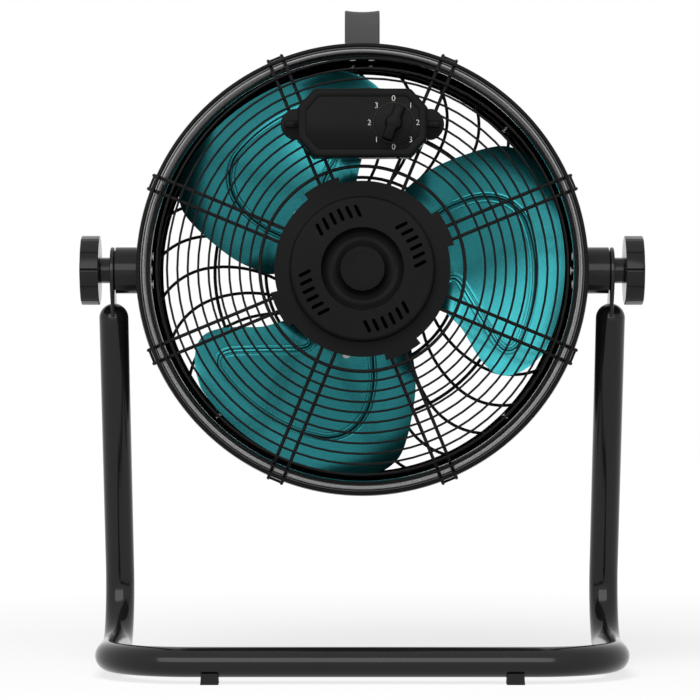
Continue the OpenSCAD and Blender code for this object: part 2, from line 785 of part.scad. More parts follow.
module motor_cover() {
    color("#232323") head_frame() translate([0, 0, cover_z]) difference() {
        union() {
            rotate_extrude() cover_section();
            turned(cover_angle - cover_tab_turn / 2, cover_groups) rotate_extrude(angle = cover_tab_turn)
                translate([cover_flange_r - over, 0]) square([cover_tab_r - cover_flange_r + over, cover_t]);
        }
        for (g = [0 : cover_groups - 1], j = [0 : slots_per_group - 1]) {
            middle = cover_angle + g * 360 / cover_groups;
            at = middle + (j - (slots_per_group - 1) / 2) * slot_step;
            translate([slot_row_r * cos(at), slot_row_r * sin(at), cover_h - cover_t / 2])
                rotate([0, 0, middle]) vent_slot();
        }
        cover_screw_places() translate([0, 0, -over]) cylinder(d = cover_screw_d + 2 * seat, h = cover_t);
    }
}

module motor_cap() {
    hole = dish_inner_r - cover_t - seat;
    color("#232323") head_frame() translate([0, 0, cover_z + cover_h + seat]) difference() {
        union() {
            cylinder(r = cap_r, h = cap_lift);
            cylinder(r = cap_step_r, h = 2 * cap_lift);
            translate([0, 0, -cap_plug_l]) cylinder(r = hole, h = cap_plug_l + cap_lift);
        }
        translate([0, 0, 2 * cap_lift - cap_groove_d]) rotate_extrude()
            translate([cap_groove_r, 0]) square([cap_groove_w, over]);
    }
}

module cover_screws() {
    color("#6a6a6a") head_frame() cover_screw_places() translate([0, 0, motor_top]) mirror([0, 0, 1])
        screw(cover_screw_d, plate_t + rib_d + cover_t / 2, cover_screw_head);
}

// One end of the motor: a cup with a bearing seat, open towards the middle
module motor_bell(hole) {
    rotate_extrude() {
        translate([bell_r, 0]) square([bell_t, motor_len / 2]);
        translate([hole, 0]) square([bell_r - hole + over, bell_t]);
        translate([bearing_d / 2 + seat, 0]) square([bearing_boss_t, bell_t + bearing_w]);
    }
}

module motor_lug_places() {
    motor_bolt_places() difference() {
        translate([0, 0, motor_len / 2 - motor_lug_t]) cylinder(r = motor_lug_r, h = motor_lug_t);
        translate([0, 0, -over]) cylinder(d = motor_bolt_d + 2 * seat, h = motor_len);
        translate([-motor_r - lug_out, 0, 0]) cylinder(r = bell_r + over, h = motor_len);
    }
}

module motor_rear_bell() {
    color("#8a8d90") head_frame() translate([0, 0, motor_top]) rotate([180, 0, 0]) {
        motor_bell(shaft_d / 2 + over);
        motor_lug_places();
    }
}

module motor_front_bell() {
    color("#8a8d90") head_frame() translate([0, 0, motor_bottom]) {
        motor_bell(shaft_d / 2 + over);
        motor_lug_places();
    }
}

module motor_bolts() {
    bolt_l = motor_top + plate_t - motor_mid + motor_lug_t + nut_h;
    color("#9a9a9a") head_frame() motor_bolt_places() {
        translate([0, 0, plate_top + seat]) screw(motor_bolt_d, bolt_l, motor_bolt_head);
        translate([0, 0, motor_mid - motor_lug_t - seat - nut_h])
            cylinder(d = motor_bolt_head[0], h = nut_h, $fn = 6);
    }
}

module stator_core() {
    inner = rotor_r + air_gap;
    color("#6f7377") head_frame() translate([0, 0, motor_mid - core_len / 2]) difference() {
        cylinder(r = bell_r - seat, h = core_len);
        translate([0, 0, -over]) cylinder(r = inner, h = core_len + 2 * over);
        turned(0, stator_slots) translate([inner + 2 * over, -stator_slot_w / 2, -over])
            cube([stator_slot_l, stator_slot_w, core_len + 2 * over]);
    }
}

module stator_windings() {
    color("#b06a34") head_frame() for (end = [-1, 1])
        translate([0, 0, motor_mid + end * (core_len / 2 + winding_r + seat)])
            ring(winding_major, winding_r);
}

module bearing(z) {
    color("#b8b8b8") head_frame() translate([0, 0, z]) difference() {
        cylinder(d = bearing_d, h = bearing_w);
        translate([0, 0, -over]) cylinder(d = shaft_d + 2 * running, h = bearing_w + 2 * over);
        for (end = [0, bearing_w]) translate([0, 0, end]) ring((bearing_d + shaft_d) / 4, bearing_w / 6);
    }
}

module motor_shaft() {
    color("#c4c6c8") head_frame() translate([0, 0, shaft_bottom])
        cylinder(d = shaft_d, h = shaft_top - shaft_bottom);
}

module rotor_core() {
    color("#5c5f63") head_frame() translate([0, 0, motor_mid - core_len / 2]) difference() {
        cylinder(r = rotor_r, h = core_len);
        translate([0, 0, -over]) cylinder(d = shaft_d + 2 * seat, h = core_len + 2 * over);
        turned(0, rotor_bars) translate([rotor_r - 2 * rotor_bar_r, 0, -over])
            cylinder(r = rotor_bar_r, h = core_len + 2 * over);
    }
}

module arm_frame(i) {
    rotate([0, 0, blade_angle + arm_angle + i * 360 / blade_count]) translate([0, 0, arm_z])
        rotate([-arm_pitch, 0, 0]) children();
}

module rivet_holes(i) {
    arm_frame(i) for (r = rivet_rs) translate([r, 0, 0])
        cylinder(d = rivet_d + 2 * seat, h = hub_r, center = true);
}

module fan_spider() {
    color("#55585c") head_frame() difference() {
        union() {
            translate([0, 0, hub_bottom]) cylinder(r = hub_r, h = hub_top - hub_bottom);
            for (i = [0 : blade_count - 1]) arm_frame(i) translate([arm_start_r, -arm_w / 2, -arm_t / 2])
                cube([arm_end_r - arm_start_r, arm_w, arm_t]);
        }
        translate([0, 0, hub_bottom - over])
            cylinder(d = shaft_d + 2 * seat, h = hub_top - hub_bottom + 2 * over);
        for (i = [0 : blade_count - 1]) rivet_holes(i);
    }
}

module blade_solid() {
    cols = blade_cols + 1;
    rows = tip_row + 1;
    side_points = rows * cols;
    points = [for (side = [1, -1], row = [0 : tip_row], c = [0 : blade_cols])
        blade_point(row, c / blade_cols, side)];
    function at(row, c, back) = back * side_points + row * cols + c;
    top = [for (row = [0 : tip_row - 1], c = [0 : blade_cols - 1])
        each [[at(row, c, 0), at(row, c + 1, 0), at(row + 1, c + 1, 0)],
              [at(row, c, 0), at(row + 1, c + 1, 0), at(row + 1, c, 0)]]];
    bottom = [for (row = [0 : tip_row - 1], c = [0 : blade_cols - 1])
        each [[at(row, c, 1), at(row + 1, c + 1, 1), at(row, c + 1, 1)],
              [at(row, c, 1), at(row + 1, c, 1), at(row + 1, c + 1, 1)]]];
    edges = [for (row = [0 : tip_row - 1])
        each [[at(row, 0, 0), at(row + 1, 0, 0), at(row + 1, 0, 1)],
              [at(row, 0, 0), at(row + 1, 0, 1), at(row, 0, 1)],
              [at(row, blade_cols, 0), at(row + 1, blade_cols, 1), at(row + 1, blade_cols, 0)],
              [at(row, blade_cols, 0), at(row, blade_cols, 1), at(row + 1, blade_cols, 1)]]];
    ends = [for (c = [0 : blade_cols - 1])
        each [[at(0, c, 0), at(0, c, 1), at(0, c + 1, 1)],
              [at(0, c, 0), at(0, c + 1, 1), at(0, c + 1, 0)],
              [at(tip_row, c, 0), at(tip_row, c + 1, 1), at(tip_row, c, 1)],
              [at(tip_row, c, 0), at(tip_row, c + 1, 0), at(tip_row, c + 1, 1)]]];
    polyhedron(points, concat(top, bottom, edges, ends));
}

module blade(i) {
    color("#35b6c2") head_frame() difference() {
        rotate([0, 0, blade_angle + i * 360 / blade_count]) blade_solid();
        rivet_holes(i);
    }
}

module blade_rivets() {
    front = arm_t / 2 + arm_gap + blade_t + 2 * seat;
    color("#8d9094") head_frame() for (i = [0 : blade_count - 1]) arm_frame(i)
        for (r = rivet_rs) translate([r, 0, 0]) {
            translate([0, 0, -arm_t / 2 - seat - rivet_head_t]) cylinder(d = rivet_head_d, h = rivet_head_t);
            translate([0, 0, -arm_t / 2 - rivet_head_t])
                cylinder(d = rivet_d, h = front + arm_t / 2 + 2 * rivet_head_t);
            translate([0, 0, front + rivet_head_t / 2]) cylinder(d = rivet_head_d, h = rivet_head_t);
        }
}

module hub_nut() {
    color("#9a9a9a") head_frame() translate([0, 0, hub_bottom - seat - hub_nut_h]) difference() {
        cylinder(d = hub_nut_d, h = hub_nut_h, $fn = 6);
        translate([0, 0, -over]) cylinder(d = shaft_d + 2 * seat, h = hub_nut_h + 2 * over);
    }
}

module octagon(inset) {
    w = box_w / 2 - inset;
    h = box_h / 2 - inset;
    cw = box_cut_w - inset / 2;
    ch = box_cut_h - inset / 2;
    polygon([[w, h - ch], [w - cw, h], [cw - w, h], [-w, h - ch],
             [-w, ch - h], [cw - w, -h], [w - cw, -h], [w, ch - h]]);
}

module pill(grow) {
    for (x = [-1, 1]) translate([x * (pill_l - pill_w) / 2, 0]) circle(d = pill_w + grow);
    square([pill_l - pill_w, pill_w + grow], center = true);
}

module box_frame() {
    head_frame() translate([0, box_y, 0]) children();
}

module control_box() {
    depth = box_front_z - box_shell_z;
    color("#222222") box_frame() difference() {
        union() {
            translate([0, 0, box_shell_z]) linear_extrude(depth - box_edge) octagon(0);
            translate([0, 0, box_front_z - box_edge - seat]) hull() {
                linear_extrude(seat) octagon(0);
                translate([0, 0, box_edge]) linear_extrude(seat) octagon(box_edge);
            }
            for (x = [-pill_x, pill_x]) translate([x, 0, box_shell_z]) linear_extrude(pill_h) pill(0);
        }
        translate([0, 0, box_shell_z - over]) linear_extrude(depth - box_t + over) octagon(box_t);
        translate([knob_x, 0, box_front_z - 2 * box_t]) cylinder(d = spindle_d + 2 * air_gap, h = 3 * box_t);
        for (x = [-pill_x, pill_x]) translate([x, 0, box_shell_z - over])
            cylinder(d = box_screw_d + 2 * seat, h = pill_h);
    }
}

module box_back_plate() {
    color("#1c1c1c") box_frame() difference() {
        translate([0, 0, box_back_z]) linear_extrude(back_t) {
            octagon(0);
            for (x = [-ear_x, ear_x]) translate([x, 0]) circle(r = ear_r);
        }
        for (x = [-pill_x, pill_x]) translate([x, 0, box_back_z - over]) {
            cylinder(d = box_screw_d + 2 * seat, h = back_t + 2 * over);
            cylinder(d = box_screw_head[0] + 2 * seat, h = box_screw_head[1] + seat + over);
        }
        for (a = clamp_angles)
            translate([clamp_r(a) * cos(a), clamp_r(a) * sin(a) - box_y, box_back_z - over])
            cylinder(d = clamp_screw_d + 2 * seat, h = back_t + 2 * over);
    }
}

module box_screws() {
    color("#6a6a6a") box_frame() for (x = [-pill_x, pill_x])
        translate([x, 0, box_back_z + box_screw_head[1]]) mirror([0, 0, 1])
        screw(box_screw_d, back_t - box_screw_head[1] + pill_h - 2 * over, box_screw_head);
}

module clamp_places() {
    for (a = clamp_angles) rotate([0, 0, a]) translate([clamp_r(a), 0, 0]) children();
}

module box_clamps() {
    color("#3a3a3a") head_frame() clamp_places() translate([0, 0, plate_top - clamp_t]) difference() {
        translate([-clamp_w / 2, -clamp_l / 2, 0]) cube([clamp_w, clamp_l, clamp_t]);
        translate([0, 0, -over]) cylinder(d = clamp_screw_d + 2 * seat, h = clamp_t + 2 * over);
    }
}

module clamp_screws() {
    shank = box_shell_z - plate_top + clamp_t + nut_h;
    color("#9a9a9a") head_frame() clamp_places() {
        translate([0, 0, box_shell_z]) screw(clamp_screw_d, shank, clamp_screw_head);
        translate([0, 0, plate_top - clamp_t - seat - nut_h])
            cylinder(d = clamp_screw_head[0], h = nut_h, $fn = 6);
    }
}

module rotary_switch() {
    top = box_front_z - box_t - seat;
    color("#d8d4c8") box_frame() translate([knob_x, 0, top - switch_h]) difference() {
        translate([-switch_w / 2, -switch_w / 2, 0]) cube([switch_w, switch_w, switch_h]);
        translate([0, 0, switch_h - spindle_back - over])
            cylinder(d = spindle_d + 2 * running, h = switch_h);
    }
}

module capacitor() {
    color("#e2e0da") box_frame() translate([cap_box_x - cap_box[0] / 2, -cap_box[1] / 2, box_shell_z])
        cube(cap_box);
}

module knob_spindle() {
    low = box_front_z - box_t - spindle_back;
    color("#b8b8b8") box_frame() translate([knob_x, 0, low])
        cylinder(d = spindle_d, h = box_front_z + spindle_in - low);
}

module speed_knob() {
    color("#1a1a1a") box_frame() translate([knob_x, 0, box_front_z + dial_gap]) difference() {
        union() {
            cylinder(d = dial_d, h = dial_base_h);
            rotate([0, 0, grip_angle]) linear_extrude(dial_h) intersection() {
                circle(d = dial_d - 2 * grip_inset);
                union() {
                    square([grip_w, dial_d], center = true);
                    circle(d = grip_bulge_d);
                }
            }
        }
        translate([0, 0, -over]) cylinder(d = spindle_d + 2 * seat, h = spindle_in - dial_gap + seat + over);
    }
}

module stand_frame() {
    translate([0, pivot_y, 0]) children();
}

// The upright, the rear bend, the leg and the front corner of one side, as a rod of radius r
module stand_side(side, r) {
    translate([side * stand_x, 0, 0]) {
        translate([0, 0, axis_h]) rotate([lean, 0, 0]) translate([0, 0, -upright_len]) rotate_extrude() {
            square([r, upright_len - lug_drop]);
            translate([0, upright_len - lug_drop]) intersection() {
                circle(r = r);
                square([r, r]);
            }
        }
        translate([0, rear_y, leg_z + rear_bend]) rotate([90, 0, 90]) arc(rear_bend, r, -90, lean);
        translate([0, front_y + front_bend, leg_z]) rotate([-90, 0, 0])
            cylinder(r = r, h = rear_y - front_y - front_bend);
    }
    translate([side * (stand_x - front_bend), front_y + front_bend, leg_z])
        arc(front_bend, r, side == right ? -90 : 180, side == right ? 0 : 270);
}

module stand_path(r) {
    for (side = [left, right]) stand_side(side, r);
    translate([0, front_y, leg_z]) rotate([0, 90, 0])
        cylinder(r = r, h = 2 * (stand_x - front_bend), center = true);
}

module stand_lug(side) {
    translate([side * stand_x, 0, axis_h]) rotate([lean, 0, 0]) rotate([90, 0, 90])
        linear_extrude(lug_t, center = true) {
            circle(r = lug_r);
            polygon([[-lug_r, 0], [lug_r, 0], [bore_r, -lug_drop], [-bore_r, -lug_drop]]);
        }
}

module foot_places() {
    for (x = [-front_foot_x, front_foot_x]) translate([x, front_y, 0]) children();
    for (x = [-stand_x, stand_x]) translate([x, rear_foot_y, 0]) children();
}

module stand_tube() {
    color("#151515") stand_frame() difference() {
        union() {
            difference() {
                stand_path(tube_r);
                stand_path(bore_r);
            }
            for (side = [left, right]) stand_lug(side);
        }
        for (side = [left, right]) translate([side * stand_x, 0, axis_h]) rotate([0, 90, 0])
            cylinder(r = hole_r, h = 2 * lug_t, center = true);
        foot_places() cylinder(d = foot_screw_d + 2 * seat, h = leg_z);
    }
}

module foot(across) {
    turn = across ? 0 : 90;
    color("#101010") difference() {
        rotate([0, 0, turn]) rotate([90, 0, 0]) linear_extrude(foot_l, center = true)
            polygon([[-foot_w / 2 - foot_flare, 0], [foot_w / 2 + foot_flare, 0],
                     [foot_w / 2, foot_top], [-foot_w / 2, foot_top]]);
        translate([0, 0, leg_z]) rotate([0, across ? 90 : 0, 0]) rotate([across ? 0 : 90, 0, 0])
            cylinder(r = tube_r + seat, h = 2 * foot_l, center = true);
        translate([0, 0, -over]) {
            cylinder(d = foot_screw_d + 2 * seat, h = foot_top + 2 * over);
            cylinder(d = foot_screw_head[0] + 2 * seat, h = foot_recess + foot_screw_head[1] + seat + over);
        }
    }
}

module front_foot(side) {
    stand_frame() translate([side * front_foot_x, front_y, 0]) foot(true);
}

module rear_foot(side) {
    stand_frame() translate([side * stand_x, rear_foot_y, 0]) foot(false);
}

module foot_screws() {
    color("#9a9a9a") stand_frame() foot_places() translate([0, 0, foot_recess + foot_screw_head[1]])
        mirror([0, 0, 1]) screw(foot_screw_d, foot_screw_up, foot_screw_head);
}

stand_tube();
front_foot(left);  // front_left_foot
front_foot(right);  // front_right_foot
rear_foot(left);  // rear_left_foot
rear_foot(right);  // rear_right_foot
foot_screws();
drum();
pivot_boss(left);  // left_pivot_boss
pivot_boss(right);  // right_pivot_boss
boss_rivets();
washer(left);  // left_washer
washer(right);  // right_washer
carry_handle();
handle_screws();
rear_guard_ribs();
rear_guard_spiral();
rear_guard_inner_ring();
rear_guard_rim_ring();
front_guard_spokes();
front_guard_rings();
front_guard_disc();
front_guard_screws();
motor_plate();
motor_cover();
motor_cap();
cover_screws();
motor_rear_bell();
motor_front_bell();
motor_bolts();
stator_core();
stator_windings();
bearing(motor_top - bell_t - bearing_w);  // rear_bearing
bearing(motor_bottom + bell_t);  // front_bearing
motor_shaft();
rotor_core();
fan_spider();
blade(0);  // blade_1
blade(1);  // blade_2
blade(2);  // blade_3
blade_rivets();
hub_nut();
control_box();
box_back_plate();
box_clamps();
clamp_screws();
box_screws();
rotary_switch();
capacitor();
speed_knob();
knob_spindle();
hand_knob(left);  // left_hand_knob
hand_knob(right);  // right_hand_knob
clamp_bolt(left);  // left_clamp_bolt
clamp_bolt(right);  // right_clamp_bolt
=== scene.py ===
"""Looks of an industrial floor fan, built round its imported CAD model.

Lengths are in millimetres in the tables below and in metres in Blender. Head pieces are placed by
x to the right, y up from the fan axis and z towards the intake, as in the part's source.
"""

import json
import math

import bpy
import bmesh
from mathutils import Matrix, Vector


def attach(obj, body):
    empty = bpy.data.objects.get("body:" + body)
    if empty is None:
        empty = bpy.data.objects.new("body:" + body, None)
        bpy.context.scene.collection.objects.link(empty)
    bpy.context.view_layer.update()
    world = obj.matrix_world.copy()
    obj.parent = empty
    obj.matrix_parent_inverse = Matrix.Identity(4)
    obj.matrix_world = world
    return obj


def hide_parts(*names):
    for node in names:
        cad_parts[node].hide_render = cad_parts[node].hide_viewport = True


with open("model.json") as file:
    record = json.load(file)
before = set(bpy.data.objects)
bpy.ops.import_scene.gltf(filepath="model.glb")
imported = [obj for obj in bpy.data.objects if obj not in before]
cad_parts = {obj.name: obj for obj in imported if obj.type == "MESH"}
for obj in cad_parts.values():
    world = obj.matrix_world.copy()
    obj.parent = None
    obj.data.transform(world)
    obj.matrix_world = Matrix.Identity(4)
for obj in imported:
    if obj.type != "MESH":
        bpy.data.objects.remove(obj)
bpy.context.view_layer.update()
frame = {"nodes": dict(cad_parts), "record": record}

MM = 0.001
AXIS_HEIGHT = 347.0
PIVOT_Y = -4.6667

# Camera, in mm but for its reach in metres: level, along +Y, at the photograph's eye height
CAMERA_X = -10.5
CAMERA_Y = -3279.7
CAMERA_Z = 278.4
LENS_MM = 195.4
SENSOR_MM = 36.0
CAMERA_REACH_M = 60

# Studio, in metres: the floor's own colour, its lift where it is seen, which grows to white from the
# near to the far distance, and the world's plain fill
FLOOR_COLOUR = (0.25, 0.25, 0.25)
FLOOR_LIFT = 0.78
FLOOR_NEAR = 0.5
FLOOR_FAR = 1.6
FLOOR_HALF = 6.0
WORLD_FILL = 0.05
# Lamps aimed at the fan's middle: name, place and size in metres, watts, and whether gloss shows it
LAMPS = [("key_softbox", (-0.3, -1.5, 2.2), (1.3, 1.3), 50, False),
         ("front_softbox", (-0.5, -3.7, 1.4), (5.2, 2.2), 106, True)]

# Finishes: features a metre of the colour drift, the uneven gloss and the orange peel or grain
DRIFT_SCALE = 9
UNEVEN_SCALE = 35
PEEL_SCALE = 700
PEEL_MM = 0.1
GRAIN_MM = 0.08
COAT_ROUGHNESS = 0.2
COAT_IOR = 1.5
# The wave texture's scale for one band a metre
BAND_SCALE = 3.14 / 20

# Drum and rear guard
BEAD_MAJOR = 186.7
BEAD_Z = 37.0
GUARD_RISE = 27.0
GUARD_Z = 64.0
RIB_D = 3.0
RIB_PAIRS = 8
RIB_FIRST = 22.5
RIB_GAP = 12.2
RIB_START_R = 58.0
KINK_R = 172.64
KINK_BEND = 6.0
HOOK_R = 8.05
HOOK_END = -25.0
HOOK_BAR_D = 2.7
RIB_STEPS = 8
KINK_STEPS = 7
HOOK_STEPS = 14
SPIRAL_D = 2.0
SPIRAL_R = 95.0
SPIRAL_PITCH = 8.76
SPIRAL_TURNS = 10
SPIRAL_START = 341.7
SPIRAL_END = 157.5
SPIRAL_Z = 66.55
SPIRAL_STEP = 5.0
OUTER_DROP = 9.447
WIRE_SIDES = 12
SPIRAL_SIDES = 10
WIRE_END_ROUND = 0.35
DRUM_R = 183.0
DRUM_OR = 184.2
BEAD_R = 6.5
BEAD_SHEET = 1.2
LIP_R = 177.0
LIP_Z = -116.0
LIP_BEND = 1.0
LATHE_STEPS = 240
BEAD_START = 236
BEAD_END = -56
BEAD_STEPS = 60
LIP_STEPS = 5
WALL_ROWS = 6
# Where the lining meets the skin: over the lip's outer face, and up and in from the outer corner
LIP_SEAM = 0.5
SEAM_RISE = 1.6
SEAM_IN = 1.5
LIP_EDGE = 0.3
SKIN_FOLD = 0.35

# Blades, from root to tip
TIP_R = 178.0
BLADE_T = 1.2
BLADE_DROP = 55.0
BLADE_R_SHARES = [0.315, 0.376, 0.438, 0.494, 0.551, 0.607, 0.663, 0.714, 0.764, 0.809, 0.848, 0.882,
                  0.912, 0.938, 0.963]
LEAD_ANGLES = [-20.8, -24.6, -26.7, -28.6, -30.4, -33.1, -35.6, -37.1, -37.9, -37.9, -36.9, -34.9,
               -32.1, -28.6, -24]
TRAIL_ANGLES = [56.1, 59.9, 62, 60.4, 57.9, 55.6, 53, 50.6, 48.4, 46.6, 45, 43.6, 42.2, 40.6, 38.4]
DROP_SHARES = [0.58, 0.76, 0.93, 1, 1, 1, 1, 1, 1, 1, 1, 1, 1, 1, 1]
CAMBER = 1.35
TIP_PEAK = 0.87
TIP_BLEND = 6
BLADE_ROWS = 96
BLADE_COLS = 110
# Corners of the pressed panel: (angle in degrees, radius in mm)
PANEL_CORNERS = [(332.0, 62), (359.0, 78), (329.5, 138), (332.5, 149), (339, 149.5), (346, 149.5),
                 (353, 149.5), (0, 149.5), (7, 149.5), (14, 149), (20, 148), (27, 139), (33, 121),
                 (36.7, 95), (37, 82), (38, 62)]
PANEL_CORNER_R = 14.0
PRESS_RAISE = 0.9
PRESS_EDGE = 2.6
PRESS_DITCH = 1.5
PRESS_DITCH_W = 2.6
# Section of the pressed line: (distance inside the outline, height over the sheet), in mm
PRESS_LINE = [(-3.6, -0.6), (-2.4, 0.03), (-0.5, 0.03), (-0.25, -0.5), (0.25, -0.5), (0.5, 0.25),
              (1.3, 0.55), (2.2, 0.6), (2.35, 0.1), (2.65, 0.1), (2.8, 0.8), (4.2, 0.95), (5.8, 0.2)]
PRESS_GROOVES = (2, 3, 4, 7, 8, 9)
PRESS_STEP = 1.6

# Stand
STAND_X = 215.0
TUBE_R = 12.7
TUBE_SIDES = 32
LEAN = 21.6
REAR_BEND = 50.0
FRONT_BEND = 72.0
FRONT_REACH = 107.9
FOOT_H = 5.6
LUG_R = 20.0
LUG_T = 3.3
LUG_DROP = 44.0
LUG_FOOT_R = 11.2
LUG_BEVEL = 0.9
LUG_NICK = 0.3
BOLT_HOLE_R = 4.1
DOME_STEPS = 11
LEG_STEPS = 9
BEND_STEPS = 24
RUN_STEPS = 8
FRONT_STEPS = 6
TIP_R_MIN = 0.3
LUG_ROUND_STEPS = 24
LUG_SIDE_STEPS = 10

# Control box and dial
BOX_W = 109.3
BOX_H = 58.7
BOX_Y = 121.7
BOX_CUT_W = 14.0
BOX_CUT_H = 15.5
BOX_CORNER_R = 2.4
BOX_EDGE_R = 2.4
BOX_DRAFT = 0.5
BOX_GROOVE_IN = 7.2
BOX_CUT_SHARE = 0.45
BOX_WALL_H = 10
BOX_EDGE_STEPS = 6
# Section of the groove in the housing's face: (place across it, depth)
BOX_GROOVE = [(-0.5, 0), (-0.2, 0.12), (0, 0.35), (0.2, 0.12), (0.5, 0)]
BOX_BACK_Z = 67.6
BOX_SHELL_Z = 71.65
BOX_FRONT_Z = 94.1
EAR_X = 55.45
EAR_R = 13.5
EAR_SWEEP = 76
EAR_SHARE = 0.97
EAR_STEPS = 20
PLATE_OVER_W = 0.4
PLATE_OVER_H = 0.3
# Levels of the back plate: (inset, height)
PLATE_LEVELS = [(0.4, BOX_BACK_Z), (0, BOX_BACK_Z + 0.4), (0, BOX_SHELL_Z - 0.5),
                (0.15, BOX_SHELL_Z - 0.15), (0.5, BOX_SHELL_Z)]
PILL_L = 12.4
PILL_W = 6.3
PILL_H = 5.0
PILL_SUNK = 1.0
PILL_SHORT = 1.6
PILL_CORNER_R = 1.6
# Rounding of the screw boss: (inset, depth under its top)
PILL_EDGE = [(0, 1.2), (0.35, 0.4), (1.2, 0)]
DIAL_X = 26.0
DIAL_Z = 94.4
DIAL_D = 33.0
DIAL_H = 13.0
DIAL_BASE_H = 4.0
GRIP_W = 8.5
GRIP_BULGE_D = 13.5
GRIP_ANGLE = -22.0
GRIP_SAG = 1.6
GRIP_STEPS = 24
# The grip's outline: the share of its bulge that stays wide, how much its middle is drawn in along
# it, and the roundness of its ends
GRIP_WIDE = 0.62
GRIP_DRAWN = 0.03
GRIP_END = 0.08
GRIP_REACH = 0.9
DIAL_STEPS = 96
# Rim of the dial's base: (inset, height)
DIAL_RIM = [(0.3, 0), (0, 0.3), (0, DIAL_BASE_H - 0.8), (0.25, DIAL_BASE_H - 0.25), (0.8, DIAL_BASE_H)]
# Levels of the grip: (inset, change of its reach, height)
GRIP_LEVELS = [(-0.9, 0.4, DIAL_BASE_H - 0.6), (-0.5, 0, DIAL_BASE_H + 0.4), (0, -0.3, DIAL_BASE_H + 1.6),
               (0.5, -0.8, DIAL_H - 1.2), (0.8, -1.1, DIAL_H - 0.45), (1.5, -1.9, DIAL_H)]
DIAL_MARKS = "01230123"
DIGIT_R = 20.3
DIGIT_H = 4.8
DIGIT_CAP = 0.7
DIGIT_RAISE = 0.03
DIGIT_THIN = -0.11
SEAT_RING_OUT = 0.35
SEAT_RING_D = 0.5

# Clamp knobs and handle
NECK_X = 216.85
NECK_D = 22.0
KNOB_X0 = 225.85
KNOB_D = 60.0
KNOB_T = 16.0
KNOB_LOBES = 12
KNOB_GROOVE = 1.3
KNOB_FLAT = 0.86
KNOB_FACET = 0.7
KNOB_CAP_D = 26.0
KNOB_CAP_H = 1.5
KNOB_SIDES = KNOB_LOBES * 20
STRAP_W = 30.0
STRAP_T = 3.0
STRAP_TOP = 224.0
STRAP_Z = 14.0
STRAP_LEN = 110.0
STRAP_ARCH = 1.2
STRAP_ROUND = 0.7
STRAP_FACE = 0.96
STRAP_GAP = 0.05
FACE_STEPS = 12
EDGE_STEPS = 8
HANDLE_STEPS = 12
FOOT_STEPS = 8
HANDLE_BEND = 12.0
FOOT_BEND = 5.0
FOOT_L = 23.0


def head_point(x, y, z):
    """A point of the fan head as a Blender vector."""
    return Vector((x, PIVOT_Y - z, AXIS_HEIGHT + y)) * MM


# Materials


class Nodes:
    """A new node material with its shader at hand."""

    def __init__(self, name):
        self.material = bpy.data.materials.new(name)
        self.material.use_nodes = True
        self.tree = self.material.node_tree
        self.shader = self.tree.nodes["Principled BSDF"]
        self.coords = self.add("ShaderNodeTexCoord")

    def add(self, kind, **inputs):
        node = self.tree.nodes.new(kind)
        for key, value in inputs.items():
            node.inputs[key.replace("_", " ")].default_value = value
        return node

    def link(self, source, target):
        self.tree.links.new(source, target)

    def noise(self, scale, detail=3.0, roughness=0.5, stretch=None):
        """Noise over the object's own place, at scale features a metre."""
        node = self.add("ShaderNodeTexNoise", Scale=scale, Detail=detail, Roughness=roughness)
        source = self.coords.outputs["Object"]
        if stretch:
            mapping = self.add("ShaderNodeMapping")
            mapping.inputs["Scale"].default_value = stretch
            self.link(source, mapping.inputs["Vector"])
            source = mapping.outputs["Vector"]
        self.link(source, node.inputs["Vector"])
        return node.outputs["Fac"]

    def ramp(self, source, low, high, start=0.3, end=0.7):
        """Two colours mixed by a noise."""
        node = self.add("ShaderNodeValToRGB")
        node.color_ramp.elements[0].position = start
        node.color_ramp.elements[1].position = end
        node.color_ramp.elements[0].color = (*low, 1)
        node.color_ramp.elements[1].color = (*high, 1)
        self.link(source, node.inputs["Fac"])
        self.link(node.outputs["Color"], self.shader.inputs["Base Color"])

    def rough(self, source, low, high):
        """Roughness between two values by a noise."""
        node = self.add("ShaderNodeMapRange")
        node.inputs["To Min"].default_value = low
        node.inputs["To Max"].default_value = high
        self.link(source, node.inputs["Value"])
        self.link(node.outputs["Result"], self.shader.inputs["Roughness"])

    def bump(self, source, strength, distance_mm):
        """Fine relief by a noise or wave."""
        node = self.add("ShaderNodeBump", Strength=strength, Distance=distance_mm * MM)
        self.link(source, node.inputs["Height"])
        self.link(node.outputs["Normal"], self.shader.inputs["Normal"])


def paint(name, low, high, rough, coat=0.0, peel=0.05, specular=0.5, ior=1.5, metallic=0.0):
    """Sprayed or powder paint: slight colour drift, uneven gloss and fine orange peel."""
    n = Nodes(name)
    n.ramp(n.noise(DRIFT_SCALE, 4), low, high)
    n.rough(n.noise(UNEVEN_SCALE, 4), *rough)
    n.bump(n.noise(PEEL_SCALE, 2), peel, PEEL_MM)
    n.shader.inputs["IOR"].default_value = ior
    n.shader.inputs["Metallic"].default_value = metallic
    n.shader.inputs["Coat Weight"].default_value = coat
    n.shader.inputs["Coat Roughness"].default_value = COAT_ROUGHNESS
    n.shader.inputs["Coat IOR"].default_value = COAT_IOR
    n.shader.inputs["Specular IOR Level"].default_value = specular
    return n.material


def moulded(name, low, high, rough, grain=0.35, grain_scale=1400, specular=0.5):
    """Moulded plastic or rubber with a fine grain."""
    n = Nodes(name)
    n.ramp(n.noise(14, 5), low, high)
    n.rough(n.noise(60, 3), *rough)
    n.bump(n.noise(grain_scale, 4, 0.6), grain, GRAIN_MM)
    n.shader.inputs["Specular IOR Level"].default_value = specular
    return n.material


